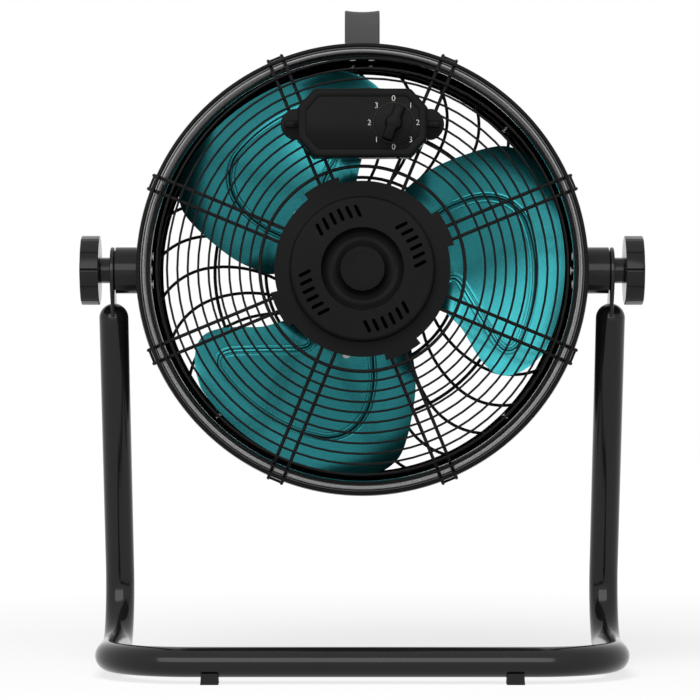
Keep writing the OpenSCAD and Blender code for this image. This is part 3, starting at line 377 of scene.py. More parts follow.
def metal(name, low, high, rough, stretch=(1, 1, 1), scale=600, strength=0.12):
    """Bare or plated metal, drawn or ground along its longest scale."""
    n = Nodes(name)
    grain = n.noise(scale, 3, 0.6, stretch)
    n.ramp(grain, low, high)
    n.rough(n.noise(80, 4), *rough)
    n.bump(grain, strength, 0.05)
    n.shader.inputs["Metallic"].default_value = 1.0
    return n.material


def banded(name, low, high, axis, pitch_mm, rough, metallic, strength=0.5):
    """Stacked sheets or wound wire: fine bands across one axis."""
    n = Nodes(name)
    wave = n.add("ShaderNodeTexWave", Distortion=0.6, Detail=2.0)
    wave.inputs["Scale"].default_value = BAND_SCALE / (pitch_mm * MM)
    wave.bands_direction = axis
    n.link(n.coords.outputs["Object"], wave.inputs["Vector"])
    n.ramp(wave.outputs["Fac"], low, high)
    n.rough(n.noise(90, 3), *rough)
    n.bump(wave.outputs["Fac"], strength, 0.15)
    n.shader.inputs["Metallic"].default_value = metallic
    return n.material


def make_materials():
    """A finish for each slot of the record, and the few that no slot names."""
    return {
        "gloss_black_paint": paint("gloss_black", (0.004, 0.004, 0.0045), (0.006, 0.006, 0.0065),
                                   (0.2, 0.24), coat=1.0, peel=0.002, ior=1.7),
        "wall_paint": paint("drum_black", (0.004, 0.004, 0.004), (0.006, 0.006, 0.006), (0.4, 0.5),
                            peel=0.02, specular=0.0),
        # painted shade: near-black without gloss for the plate seen through the cover's vents, so the
        # slots look shadowed
        "plate_painted_shade": paint("plate_shade_black", (0.002, 0.002, 0.002), (0.0035, 0.0035, 0.0035), (0.4, 0.5),
                             specular=0.0),
        "stand_paint": paint("stand_black", (0.0065, 0.0065, 0.0065), (0.009, 0.009, 0.009),
                             (0.11, 0.15), peel=0.01, specular=0.28),
        "wire_coat": paint("wire_black", (0.0065, 0.0055, 0.0055), (0.0095, 0.0085, 0.0085), (0.38, 0.46),
                           peel=0.06, specular=0.06),
        "grey_paint": paint("handle_grey", (0.055, 0.055, 0.0556), (0.063, 0.063, 0.063), (0.42, 0.52),
                            peel=0.05, specular=0.08),
        "teal_paint": paint("blade_teal", (0.022, 0.195, 0.213), (0.028, 0.215, 0.234), (0.2, 0.23),
                            peel=0.015, specular=0.05, metallic=0.9),
        # painted shade: a dark teal for the faces of the blades' pressed grooves, standing for the shadow
        # inside the shallow grooves
        "groove_painted_shade": paint("blade_shade", (0.001, 0.012, 0.014), (0.002, 0.018, 0.02), (0.6, 0.7),
                             specular=0.05),
        "black_plastic": moulded("housing_black", (0.0055, 0.0055, 0.0055), (0.0075, 0.0073, 0.0073),
                                 (0.22, 0.27), grain=0.03, specular=0.035),
        "gloss_plastic": moulded("clamp_black", (0.0065, 0.0065, 0.0065), (0.0085, 0.0085, 0.0085),
                                 (0.13, 0.17), grain=0.02, specular=0.2),
        "dial_plastic": moulded("dial_black", (0.006, 0.006, 0.006), (0.0085, 0.0083, 0.0083),
                                (0.3, 0.36), grain=0.08, specular=0.04),
        "knob_plastic": moulded("knob_black", (0.009, 0.009, 0.009), (0.0115, 0.0113, 0.0113),
                                (0.28, 0.34), grain=0.08, specular=0.5),
        "foot_rubber": moulded("rubber_black", (0.008, 0.008, 0.008), (0.014, 0.0137, 0.0135),
                               (0.7, 0.85), grain=0.5, grain_scale=900, specular=0.25),
        "zinc_steel": metal("zinc_plate", (0.4, 0.4, 0.41), (0.56, 0.56, 0.57), (0.28, 0.42)),
        "cast_aluminium": metal("cast_aluminium", (0.42, 0.42, 0.43), (0.58, 0.58, 0.59), (0.45, 0.6),
                                scale=260, strength=0.45),
        "bearing_steel": metal("ground_steel", (0.5, 0.5, 0.51), (0.62, 0.62, 0.63), (0.14, 0.24),
                               stretch=(1, 20, 1), strength=0.06),
        "core_steel": banded("lamination", (0.1, 0.1, 0.105), (0.3, 0.3, 0.31), "Y", 0.5, (0.4, 0.55),
                             1.0),
        "copper_wire": banded("winding", (0.3, 0.1, 0.035), (0.62, 0.26, 0.1), "Z", 0.9, (0.3, 0.4),
                              0.8),
        "fibre": moulded("fibre", (0.19, 0.165, 0.14), (0.3, 0.27, 0.23), (0.75, 0.9), grain=0.6,
                         grain_scale=600, specular=0.2),
        "switch_plastic": moulded("pale_plastic", (0.55, 0.53, 0.48), (0.66, 0.64, 0.59), (0.45, 0.55),
                                  grain=0.1)}


def dress_frame(materials):
    """Every CAD node gets its slot's material, but the bosses and washers their own finish, and the plate
    behind the cover's vents a near-black without gloss as painted shade.
    """
    looks = {s["node"]: s["material_slot"] for s in frame["record"]["subparts"]}
    # painted shade: the plate behind the vents takes a near-black so that the slots look dark
    looks["motor_plate"] = "plate_painted_shade"
    for side in ("left", "right"):
        looks[side + "_pivot_boss"] = "gloss_plastic"
        looks[side + "_washer"] = "dial_plastic"
    for name, obj in frame["nodes"].items():
        obj.data.materials.clear()
        obj.data.materials.append(materials[looks[name]])


# Stage


def add_object(name, data):
    """A new object in the scene."""
    obj = bpy.data.objects.new(name, data)
    bpy.context.scene.collection.objects.link(obj)
    return obj


def floor_material():
    """Pale floor that takes the shadow, lifted towards white where it is seen, more so with distance."""
    material = bpy.data.materials.new("floor_pale")
    material.use_nodes = True
    tree = material.node_tree
    tree.nodes.clear()
    out = tree.nodes.new("ShaderNodeOutputMaterial")
    both = tree.nodes.new("ShaderNodeAddShader")
    diffuse = tree.nodes.new("ShaderNodeBsdfDiffuse")
    diffuse.inputs["Color"].default_value = (*FLOOR_COLOUR, 1)
    glow = tree.nodes.new("ShaderNodeEmission")
    place = tree.nodes.new("ShaderNodeTexCoord")
    length = tree.nodes.new("ShaderNodeVectorMath")
    length.operation = "LENGTH"
    fade = tree.nodes.new("ShaderNodeMapRange")
    fade.inputs["From Min"].default_value = FLOOR_NEAR
    fade.inputs["From Max"].default_value = FLOOR_FAR
    fade.inputs["To Min"].default_value = FLOOR_LIFT
    fade.inputs["To Max"].default_value = 1.0
    product = tree.nodes.new("ShaderNodeMath")
    product.operation = "MULTIPLY"
    tree.links.new(place.outputs["Object"], length.inputs[0])
    tree.links.new(length.outputs["Value"], fade.inputs["Value"])
    tree.links.new(fade.outputs["Result"], product.inputs[0])
    tree.links.new(seen_share(tree), product.inputs[1])
    tree.links.new(product.outputs[0], glow.inputs["Strength"])
    tree.links.new(diffuse.outputs["BSDF"], both.inputs[0])
    tree.links.new(glow.outputs["Emission"], both.inputs[1])
    tree.links.new(both.outputs[0], out.inputs["Surface"])
    return material


def seen_share(tree):
    """One for a camera, glossy or transmission ray, so that gloss shows the white background too."""
    path = tree.nodes.new("ShaderNodeLightPath")
    total = path.outputs["Is Camera Ray"]
    for ray in ("Is Glossy Ray", "Is Transmission Ray"):
        seen = tree.nodes.new("ShaderNodeMath")
        seen.operation = "MAXIMUM"
        tree.links.new(total, seen.inputs[0])
        tree.links.new(path.outputs[ray], seen.inputs[1])
        total = seen.outputs[0]
    return total


def build_world():
    """White where it is seen, straight or in gloss, and a dim fill for plain light."""
    world = bpy.data.worlds.new("studio")
    bpy.context.scene.world = world
    world.use_nodes = True
    tree = world.node_tree
    tree.nodes.clear()
    out = tree.nodes.new("ShaderNodeOutputWorld")
    shown = tree.nodes.new("ShaderNodeMixShader")
    tree.links.new(seen_share(tree), shown.inputs["Fac"])
    for slot, strength in ((1, WORLD_FILL), (2, 1.0)):
        node = tree.nodes.new("ShaderNodeBackground")
        node.inputs["Color"].default_value = (1, 1, 1, 1)
        node.inputs["Strength"].default_value = strength
        tree.links.new(node.outputs[0], shown.inputs[slot])
    tree.links.new(shown.outputs[0], out.inputs["Surface"])


def build_stage():
    h = FLOOR_HALF
    floor_mesh = bpy.data.meshes.new("floor")
    floor_mesh.from_pydata([(-h, -h, 0), (h, -h, 0), (h, h, 0), (-h, h, 0)], [], [(0, 1, 2, 3)])
    floor = add_object("floor", floor_mesh)
    floor_mesh.materials.append(floor_material())


def build_lights():
    for name, place, size, watts, glossy in LAMPS:
        light = bpy.data.lights.new(name, "AREA")
        light.shape = "RECTANGLE"
        light.size, light.size_y = size
        light.energy = watts
        obj = add_object(name, light)
        obj.location = place
        aim = head_point(0, 0, 0) - Vector(place)
        obj.rotation_euler = aim.to_track_quat("-Z", "Y").to_euler()
        obj.visible_glossy = glossy


def build_camera():
    camera = bpy.data.cameras.new("camera")
    camera.lens = LENS_MM
    camera.sensor_width = SENSOR_MM
    camera.sensor_fit = "HORIZONTAL"
    camera.clip_end = CAMERA_REACH_M
    obj = add_object("camera", camera)
    obj.location = Vector((CAMERA_X, CAMERA_Y, CAMERA_Z)) * MM
    obj.rotation_euler = (math.radians(90), 0, 0)
    bpy.context.scene.camera = obj


# Mesh helpers


def add_piece(name, verts, faces, body, slot, hides=(), smooth=True, sharp_angle=None, look=None):
    """A mesh in the row frame that rides on a body and stands for the CAD nodes it hides."""
    mesh = bpy.data.meshes.new(name)
    mesh.from_pydata([tuple(v) for v in verts], [], faces)
    work = bmesh.new()
    work.from_mesh(mesh)
    bmesh.ops.recalc_face_normals(work, faces=work.faces)
    work.to_mesh(mesh)
    work.free()
    mesh.materials.append(MATERIALS[look or slot])
    obj = add_object(name, mesh)
    if smooth:
        mesh.shade_smooth()
    if sharp_angle:
        mesh.set_sharp_from_angle(angle=math.radians(sharp_angle))
    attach(obj, body)
    if hides:
        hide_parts(*hides)
    return obj


def arc_points(centre, radius, start, end, steps):
    """Points (u, v) of a circular arc, angles in degrees."""
    return [(centre[0] + radius * math.cos(math.radians(start + (end - start) * i / steps)),
             centre[1] + radius * math.sin(math.radians(start + (end - start) * i / steps)))
            for i in range(steps + 1)]


def round_section(radius, sides):
    return [(radius * math.cos(2 * math.pi * k / sides), radius * math.sin(2 * math.pi * k / sides))
            for k in range(sides)]


def sweep(points, sections, first_normal, closed=False):
    """Verts and faces of sections carried along points without twisting; open ends are capped."""
    count = len(points)
    tangents = []
    for i in range(count):
        before = points[i - 1] if i or closed else points[i]
        after = points[(i + 1) % count] if i + 1 < count or closed else points[i]
        tangents.append((after - before).normalized())
    normal = Vector(first_normal)
    verts, faces = [], []
    sides = len(sections[0])
    for i, (point, tangent) in enumerate(zip(points, tangents)):
        normal = (normal - tangent * normal.dot(tangent)).normalized()
        binormal = tangent.cross(normal)
        verts += [point + normal * u + binormal * v for u, v in sections[i]]
    for i in range(count if closed else count - 1):
        j = (i + 1) % count
        faces += [(i * sides + k, i * sides + (k + 1) % sides, j * sides + (k + 1) % sides, j * sides + k)
                  for k in range(sides)]
    if not closed:
        faces.append(tuple(reversed(range(sides))))
        faces.append(tuple((count - 1) * sides + k for k in range(sides)))
    return verts, faces


def join_lists(parts):
    """One list of verts and faces from several."""
    verts, faces = [], []
    for v, f in parts:
        start = len(verts)
        verts += v
        faces += [tuple(start + i for i in face) for face in f]
    return verts, faces


def wire(points, diameter, first_normal, closed=False, sides=WIRE_SIDES):
    """A round wire through points, its cut ends slightly rounded."""
    radius = diameter / 2 * MM
    if closed:
        return sweep(points, [round_section(radius, sides)] * len(points), first_normal, True)
    lead = (points[1] - points[0]).normalized() * radius * WIRE_END_ROUND
    tail = (points[-1] - points[-2]).normalized() * radius * WIRE_END_ROUND
    path = [points[0], points[0] + lead] + points[1:-1] + [points[-1] - tail, points[-1]]
    small = round_section(radius * (1 - WIRE_END_ROUND), sides)
    full = round_section(radius, sides)
    return sweep(path, [small] + [full] * (len(path) - 2) + [small], first_normal)


def turned_about_fan(points, angle):
    """Head points (x, y, z in mm) turned about the fan axis, as Blender vectors."""
    c, s = math.cos(math.radians(angle)), math.sin(math.radians(angle))
    return [head_point(x * c - y * s, x * s + y * c, z) for x, y, z in points]


def smoothstep(low, high, value):
    """A smooth rise from 0 at low to 1 at high."""
    t = min(max((value - low) / (high - low), 0.0), 1.0)
    return t * t * (3 - 2 * t)


def lathe(profile, steps, place):
    """A closed (radius, height) outline turned once about the fan axis."""
    count = len(profile)
    verts, faces = [], []
    for i in range(steps):
        a = 2 * math.pi * i / steps
        verts += [place(r * math.cos(a), r * math.sin(a), z) for r, z in profile]
        j = (i + 1) % steps
        faces += [(i * count + k, i * count + (k + 1) % count, j * count + (k + 1) % count, j * count + k)
                  for k in range(count)]
    return verts, faces


# Drum


def build_drum():
    """The rolled sheet: a bead that curls outwards and nearly closes, the lining and the skin."""
    centre = (BEAD_MAJOR, BEAD_Z)
    low = LIP_Z - BEAD_SHEET
    bead = arc_points(centre, BEAD_R, BEAD_START, BEAD_END, BEAD_STEPS)
    bead += arc_points(centre, BEAD_R - BEAD_SHEET, BEAD_END, BEAD_START, BEAD_STEPS // 2)
    add_turned("drum_bead", bead, "gloss_black_paint", ["drum"])
    top = bead[0][1]
    middle = (DRUM_R + DRUM_OR) / 2
    rise = [LIP_Z + (top - LIP_Z) * i / WALL_ROWS for i in range(1, WALL_ROWS + 1)]
    seam = [(middle - SEAM_IN, low + LIP_SEAM), (middle, low + SEAM_RISE), (middle, top)]
    wall = [(LIP_R, low + LIP_SEAM), (LIP_R, LIP_Z - LIP_EDGE), (LIP_R + LIP_EDGE, LIP_Z)]
    wall += arc_points((DRUM_R - LIP_BEND, LIP_Z + LIP_BEND), LIP_BEND, -90, 0, LIP_STEPS)
    wall += [(DRUM_R, z) for z in rise] + seam[::-1]
    add_turned("drum_lining", wall, "wall_paint")
    skin = [(DRUM_OR, z) for z in rise[::-1]]
    skin += [(DRUM_OR, LIP_Z), (DRUM_OR - SKIN_FOLD, low + SKIN_FOLD), (DRUM_OR - BEAD_SHEET, low),
             (LIP_R + LIP_EDGE, low), (LIP_R, low + LIP_EDGE), (LIP_R, low + LIP_SEAM)]
    add_turned("drum_skin", skin + seam, "stand_paint")


def add_turned(name, profile, look, hides=()):
    """A piece of the drum, turned about the fan axis from its (radius, height) outline."""
    verts, faces = lathe(profile, LATHE_STEPS, head_point)
    add_piece(name, verts, faces, "head", "gloss_black_paint", hides, sharp_angle=50, look=look)


# Rear guard


def rib_path():
    """One rib in its own plane, (radius, height) in mm, from under the cover round the bead."""
    distance = math.hypot(BEAD_MAJOR - KINK_R, GUARD_RISE)
    normal = math.degrees(math.atan2(BEAD_MAJOR - KINK_R, GUARD_RISE)) + math.degrees(
        math.asin(HOOK_R / distance))
    cut = KINK_BEND * math.tan(math.radians((90 - normal) / 2))
    run = KINK_R - cut - RIB_START_R
    path = [(RIB_START_R + run * i / RIB_STEPS, GUARD_Z) for i in range(RIB_STEPS)]
    path += arc_points((KINK_R - cut, GUARD_Z - KINK_BEND), KINK_BEND, 90, normal, KINK_STEPS)
    path += arc_points((BEAD_MAJOR, BEAD_Z), HOOK_R, normal, HOOK_END, HOOK_STEPS)
    return path


def build_ribs():
    parts = []
    path = rib_path()
    for i in range(RIB_PAIRS):
        angle = RIB_FIRST + i * 360 / RIB_PAIRS
        for side in (-RIB_GAP / 2, RIB_GAP / 2):
            points = turned_about_fan([(r, side, z) for r, z in path], angle)
            parts.append(wire(points, RIB_D, (0, 1, 0)))
        r, z = path[-1]
        half = (RIB_GAP + RIB_D) / 2
        points = turned_about_fan([(r, t, z) for t in (-half, 0, half)], angle)
        parts.append(wire(points, HOOK_BAR_D, (0, 1, 0)))
    verts, faces = join_lists(parts)
    add_piece("guard_ribs", verts, faces, "head", "wire_coat", ["rear_guard_ribs"])


def spiral_points():
    """The spiral from its inner end outwards, in head mm, turning clockwise."""
    points = []

    def half_turn(centre_x, radius, start, end, z_of):
        steps = max(2, int(abs(end - start) / SPIRAL_STEP))
        for x, y in arc_points((centre_x, 0), radius, start, end, steps)[1 if points else 0:]:
            points.append((x, y, SPIRAL_Z + z_of(x)))

    last = SPIRAL_R + (SPIRAL_TURNS - 1) * SPIRAL_PITCH
    outer = SPIRAL_R + SPIRAL_TURNS * SPIRAL_PITCH
    slope = OUTER_DROP / (last + outer)
    for i in range(SPIRAL_TURNS):
        start = SPIRAL_START if i == 0 else 360
        half_turn(0, SPIRAL_R + i * SPIRAL_PITCH, start, 180, lambda x: 0)
        drop = (lambda x: -(x + last) * slope) if i == SPIRAL_TURNS - 1 else (lambda x: 0)
        half_turn(SPIRAL_PITCH / 2, SPIRAL_R + (i + 0.5) * SPIRAL_PITCH, 180, 0, drop)
    half_turn(0, outer, 360, 180, lambda x: -OUTER_DROP)
    half_turn(SPIRAL_PITCH / 2, outer + SPIRAL_PITCH / 2, 180, SPIRAL_END,
              lambda x: -OUTER_DROP - (x + outer) * slope)
    return points


def build_spiral():
    points = [head_point(*p) for p in spiral_points()]
    verts, faces = wire(points, SPIRAL_D, (0, 1, 0), sides=SPIRAL_SIDES)
    add_piece("guard_spiral", verts, faces, "head", "wire_coat", ["rear_guard_spiral"])


# Blades


def table_value(table, row):
    """A smooth curve through the rows of a table, read at a row that may lie between two."""
    i = min(max(int(math.floor(row)), 0), len(table) - 2)
    t = row - i
    p1, p2 = table[i], table[i + 1]
    p0 = table[i - 1] if i > 0 else 2 * p1 - p2
    p3 = table[i + 2] if i + 2 < len(table) else 2 * p2 - p1
    return 0.5 * (2 * p1 + (p2 - p0) * t + (2 * p0 - 5 * p1 + 4 * p2 - p3) * t * t
                  + (3 * p1 - p0 - 3 * p2 + p3) * t * t * t)


def tip_lift(u):
    """Share of the tip's bulge at u, from the leading edge to the trailing one."""
    if u < TIP_PEAK:
        return u / TIP_PEAK
    return 1 - ((u - TIP_PEAK) / (1 - TIP_PEAK)) ** 2


def panel_distance(x, y):
    """Distance in mm inside the pressed panel's outline, negative outside."""
    inside = False
    nearest = 1e9
    for (ax, ay), (bx, by) in zip(PANEL, PANEL[1:] + PANEL[:1]):
        if (ay > y) != (by > y) and x < (bx - ax) * (y - ay) / (by - ay) + ax:
            inside = not inside
        length = (bx - ax) ** 2 + (by - ay) ** 2
        t = min(max(((x - ax) * (bx - ax) + (y - ay) * (by - ay)) / length, 0), 1)
        nearest = min(nearest, math.hypot(x - ax - t * (bx - ax), y - ay - t * (by - ay)))
    return nearest if inside else -nearest


def rounded_polygon(corners, radius, steps=6):
    """Polygon corners rounded by quadratic curves that start radius before each corner."""
    out = []
    count = len(corners)
    for i in range(count):
        a, b, c = (Vector(corners[(i + k) % count]) for k in (-1, 0, 1))
        start = b + (a - b).normalized() * min(radius, (a - b).length / 2)
        end = b + (c - b).normalized() * min(radius, (c - b).length / 2)
        for k in range(steps):
            t = (k + 0.5) / steps
            out.append(tuple(start * (1 - t) ** 2 + b * 2 * t * (1 - t) + end * t * t))
    return out


def press_height(distance):
    """Height of the sheet: raised inside the outline, with a ditch that the pressed line fills."""
    ditch = math.exp(-((distance - 1) / PRESS_DITCH_W) ** 4)
    return PRESS_RAISE * smoothstep(0, PRESS_EDGE, distance) - PRESS_DITCH * ditch


def blade_height(x, y):
    """Height of the plain sheet over a place of the blade at angle 0."""
    radius, angle = math.hypot(x, y) / TIP_R, math.degrees(math.atan2(y, x))
    row = 0.0
    for i, share in enumerate(BLADE_R_SHARES[:-1]):
        if radius >= share:
            row = min(i + (radius - share) / (BLADE_R_SHARES[i + 1] - share), len(BLADE_R_SHARES) - 1.0)
    lead, trail = table_value(LEAD_ANGLES, row), table_value(TRAIL_ANGLES, row)
    u = min(max((angle - lead) / (trail - lead), 0.0), 1.0)
    return BLADE_DROP * table_value(DROP_SHARES, row) * (0.5 ** CAMBER - u ** CAMBER)


def even_outline(outline, step):
    """A closed outline resampled at even steps."""
    lengths = [math.dist(a, b) for a, b in zip(outline, outline[1:] + outline[:1])]
    count = int(sum(lengths) / step)
    out, i, run = [], 0, 0.0
    for k in range(count):
        at = sum(lengths) * k / count
        while run + lengths[i] < at:
            run += lengths[i]
            i += 1
        t = (at - run) / lengths[i]
        a, b = outline[i], outline[(i + 1) % len(outline)]
        out.append((a[0] + (b[0] - a[0]) * t, a[1] + (b[1] - a[1]) * t))
    return out


def press_line():
    """The pressed line round the panel: a closed strip (rows of head points) on the sheet's face."""
    outline = even_outline(PANEL, PRESS_STEP)
    count = len(outline)
    turn = sum(a[0] * b[1] - a[1] * b[0] for a, b in zip(outline, outline[1:] + outline[:1]))
    side = 1 if turn > 0 else -1
    rows = []
    for i, (x, y) in enumerate(outline):
        before, after = Vector(outline[i - 2]), Vector(outline[(i + 2) % count])
        along = (after - before).normalized()
        inwards = (-along.y * side, along.x * side)
        row = []
        for distance, height in PRESS_LINE:
            px, py = x + inwards[0] * distance, y + inwards[1] * distance
            row.append((px, py, blade_height(px, py) + BLADE_T / 2 + height))
        rows.append(row)
    return rows


def blade_surface(row, u):
    """A point of the sheet's middle in head mm, with the pressing, for the blade at angle 0."""
    r = TIP_R * table_value(BLADE_R_SHARES, row)
    r += TIP_R * (1 - BLADE_R_SHARES[-1]) * tip_lift(u) * (row / (len(BLADE_R_SHARES) - 1)) ** TIP_BLEND
    lead, trail = table_value(LEAD_ANGLES, row), table_value(TRAIL_ANGLES, row)
    a = math.radians(lead + (trail - lead) * u)
    drop = BLADE_DROP * table_value(DROP_SHARES, row)
    x, y = r * math.cos(a), r * math.sin(a)
    z = drop * (0.5 ** CAMBER - max(u, 0) ** CAMBER)
    return x, y, z + press_height(panel_distance(x, y))


def add_press_line(strip, blade, angle):
    """The pressed line on one blade, the faces of its two narrow grooves in a dark teal as painted shade.
    """
    width = len(PRESS_LINE)
    verts = [v for row in strip for v in turned_about_fan(row, angle)]
    # the groove faces take the dark teal of painted shade, the rest of the line the blade's own teal
    for name, look, grooves in (("line", "teal_paint", False), ("groove", "groove_painted_shade", True)):
        faces = []
        for i in range(len(strip)):
            j = (i + 1) % len(strip)
            faces += [(i * width + k, i * width + k + 1, j * width + k + 1, j * width + k)
                      for k in range(width - 1) if (k in PRESS_GROOVES) == grooves]
        add_piece("blade_%s_%d" % (name, blade + 1), verts, faces, "fan", "teal_paint", sharp_angle=40,
                  look=look)


def build_blades():
    rows, cols = BLADE_ROWS, BLADE_COLS
    last = len(BLADE_R_SHARES) - 1
    grid = [[blade_surface(last * i / rows, j / cols) for j in range(cols + 1)] for i in range(rows + 1)]
    edge = BLADE_T / 2
    strip = press_line()
    for blade in range(3):
        angle = blade * 120
        add_press_line(strip, blade, angle)
        verts, faces = [], []
        for side in (edge, -edge):
            for i in range(rows + 1):
                verts += turned_about_fan([(x, y, z + side) for x, y, z in grid[i]], angle)
        cell = cols + 1
        back = (rows + 1) * cell
        for i in range(rows):
            for j in range(cols):
                a, b, c, d = i * cell + j, i * cell + j + 1, (i + 1) * cell + j + 1, (i + 1) * cell + j
                faces += [(a, b, c, d), (back + d, back + c, back + b, back + a)]
        ring = [i * cell for i in range(rows + 1)] + [rows * cell + j for j in range(1, cell)]
        ring += [i * cell + cols for i in range(rows - 1, -1, -1)] + list(range(cols - 1, 0, -1))
        for a, b in zip(ring, ring[1:] + ring[:1]):
            faces.append((a, b, back + b, back + a))
        add_piece("blade_sheet_%d" % (blade + 1), verts, faces, "fan", "teal_paint",
                  ["blade_%d" % (blade + 1)], sharp_angle=50)


# Stand


def stand_path():
    """The tube's middle from the left end to the right end, with each point's distance in mm from
    the tip of the nearer domed end."""
    lean = math.radians(LEAN)
    leg_z = FOOT_H + TUBE_R
    cut = REAR_BEND * math.tan(math.radians(90 + LEAN) / 2)
    rear_y = (AXIS_HEIGHT - leg_z) * math.tan(lean) - cut
    length = (AXIS_HEIGHT - leg_z) / math.cos(lean) - cut
    tip = LUG_DROP - TUBE_R
    side, distances = [], []
    for i in range(DOME_STEPS + 1):
        distances.append(TUBE_R * (1 - math.cos(math.radians(90 * i / DOME_STEPS))))
    distances += [TUBE_R + (length - LUG_DROP) * i / LEG_STEPS for i in range(1, LEG_STEPS + 1)]
    for d in distances:
        s = tip + d
        side.append((STAND_X, s * math.sin(lean), AXIS_HEIGHT - s * math.cos(lean)))
    bend = arc_points((rear_y, leg_z + REAR_BEND), REAR_BEND, LEAN, -90, BEND_STEPS)[1:]
    side += [(STAND_X, y, z) for y, z in bend]
    front_y = -FRONT_REACH
    side += [(STAND_X, rear_y + (front_y + FRONT_BEND - rear_y) * i / RUN_STEPS, leg_z)
             for i in range(1, RUN_STEPS + 1)]
    corner = arc_points((STAND_X - FRONT_BEND, front_y + FRONT_BEND), FRONT_BEND, 0, -90,
                        BEND_STEPS)[1:]
    side += [(x, y, leg_z) for x, y in corner]
    side += [((STAND_X - FRONT_BEND) * (1 - i / FRONT_STEPS), front_y, leg_z)
             for i in range(1, FRONT_STEPS)]
    far = TUBE_R * 4
    distances += [far] * (len(side) - len(distances))
    full = [(-x, y, z) for x, y, z in side] + [(0, front_y, leg_z)] + list(reversed(side))
    distances = distances + [far] + list(reversed(distances))
    return [Vector((x, y + PIVOT_Y, z)) * MM for x, y, z in full], distances


def build_stand():
    path, distances = stand_path()
    sections = []
    for distance in distances:
        drop = TUBE_R - distance
        radius = math.sqrt(TUBE_R ** 2 - drop ** 2) if drop > 0 else TUBE_R
        sections.append(round_section(max(radius, TIP_R_MIN) * MM, TUBE_SIDES))
    parts = [sweep(path, sections, (1, 0, 0))]
    parts += [lug_plate(side) for side in (-1, 1)]
    verts, faces = join_lists(parts)
    add_piece("stand_bent_tube", verts, faces, "stand", "gloss_black_paint", ["stand_tube"],
              sharp_angle=38, look="stand_paint")


def lug_plate(side):
    """The pressed end of the tube: a plate with rounded edges and a bolt hole, tapering down over
    the tube's domed end."""
    lean = math.radians(LEAN)
    outline = [(LUG_R * math.cos(a), LUG_R * math.sin(a))
               for a in (math.radians(180 * i / LUG_ROUND_STEPS) for i in range(LUG_ROUND_STEPS + 1))]
    outline += [(-LUG_R + (LUG_R - LUG_FOOT_R) * smoothstep(0, 1, t), -LUG_DROP * t)
                for t in (i / LUG_SIDE_STEPS for i in range(1, LUG_SIDE_STEPS + 1))]
    outline += [(LUG_FOOT_R + (LUG_R - LUG_FOOT_R) * smoothstep(0, 1, 1 - t), -LUG_DROP * (1 - t))
                for t in (i / LUG_SIDE_STEPS for i in range(LUG_SIDE_STEPS))]
    count = len(outline)
    hole = []
    for u, v in outline:
        a = math.atan2(v, u)
        hole.append((BOLT_HOLE_R * math.cos(a), BOLT_HOLE_R * math.sin(a)))
    half = LUG_T / 2
    bevel, nick = LUG_BEVEL, LUG_BEVEL * LUG_NICK
    levels = [(-half, bevel), (-half + nick, nick), (-half + bevel, 0),
              (half - bevel, 0), (half - nick, nick), (half, bevel)]
    verts = []

    def place(x, u, v):
        y = u * math.cos(lean) - v * math.sin(lean)
        z = u * math.sin(lean) + v * math.cos(lean)
        return Vector((side * STAND_X + x, PIVOT_Y + y, AXIS_HEIGHT + z)) * MM

    for x, inset in levels:
        for u, v in outline:
            length = math.hypot(u, v)
            scale = (length - inset) / length
            verts.append(place(x, u * scale, v * scale))
    hole_start = len(verts)
    for x in (half, -half):
        verts += [place(x, u, v) for u, v in hole]
    faces = []
    for i in range(len(levels) - 1):
        for k in range(count):
            m = (k + 1) % count
            faces.append((i * count + k, i * count + m, (i + 1) * count + m, (i + 1) * count + k))
    top = (len(levels) - 1) * count
    for k in range(count):
        m = (k + 1) % count
        faces.append((top + k, top + m, hole_start + m, hole_start + k))
        faces.append((hole_start + k, hole_start + m, hole_start + count + m, hole_start + count + k))
        faces.append((hole_start + count + k, hole_start + count + m, m, k))
    return verts, faces


# Stacked outlines


def stack(levels, place, close_first=True, close_last=True):
    """Skins outlines of equal length, one above the other. Each level is (outline, height)."""
    count = len(levels[0][0])
    verts = [place(x, y, z) for outline, z in levels for x, y in outline]
    faces = []
    for i in range(len(levels) - 1):
        for k in range(count):
            m = (k + 1) % count
            faces.append((i * count + k, i * count + m, (i + 1) * count + m, (i + 1) * count + k))
    if close_first:
        faces.append(tuple(range(count)))
    if close_last:
        faces.append(tuple((len(levels) - 1) * count + k for k in range(count)))
    return verts, faces


def octagon(inset):
    """Outline of the housing, inset from its base's outline."""
    w, h = BOX_W / 2 - inset, BOX_H / 2 - inset
    cw, ch = BOX_CUT_W - inset * BOX_CUT_SHARE, BOX_CUT_H - inset * BOX_CUT_SHARE
    corners = [(w, h - ch), (w - cw, h), (cw - w, h), (-w, h - ch),
               (-w, ch - h), (cw - w, -h), (w - cw, -h), (w, ch - h)]
    return rounded_polygon(corners, BOX_CORNER_R, 5)


def box_place(x, y, z):
    return head_point(x, y + BOX_Y, z)


def build_control_box():
    levels = [(octagon(0), BOX_SHELL_Z), (octagon(BOX_DRAFT * 0.5), BOX_FRONT_Z - BOX_WALL_H),
              (octagon(BOX_DRAFT), BOX_FRONT_Z - BOX_EDGE_R)]
    for i in range(1, BOX_EDGE_STEPS + 1):
        a = math.radians(90 * i / BOX_EDGE_STEPS)
        levels.append((octagon(BOX_DRAFT + BOX_EDGE_R * (1 - math.cos(a))),
                       BOX_FRONT_Z - BOX_EDGE_R * (1 - math.sin(a))))
    levels += [(octagon(BOX_GROOVE_IN + across), BOX_FRONT_Z - depth) for across, depth in BOX_GROOVE]
    parts = [stack(levels, box_place)] + [pill(side) for side in (-1, 1)]
    verts, faces = join_lists(parts)
    add_piece("control_housing", verts, faces, "head", "black_plastic", ["control_box"], sharp_angle=40)


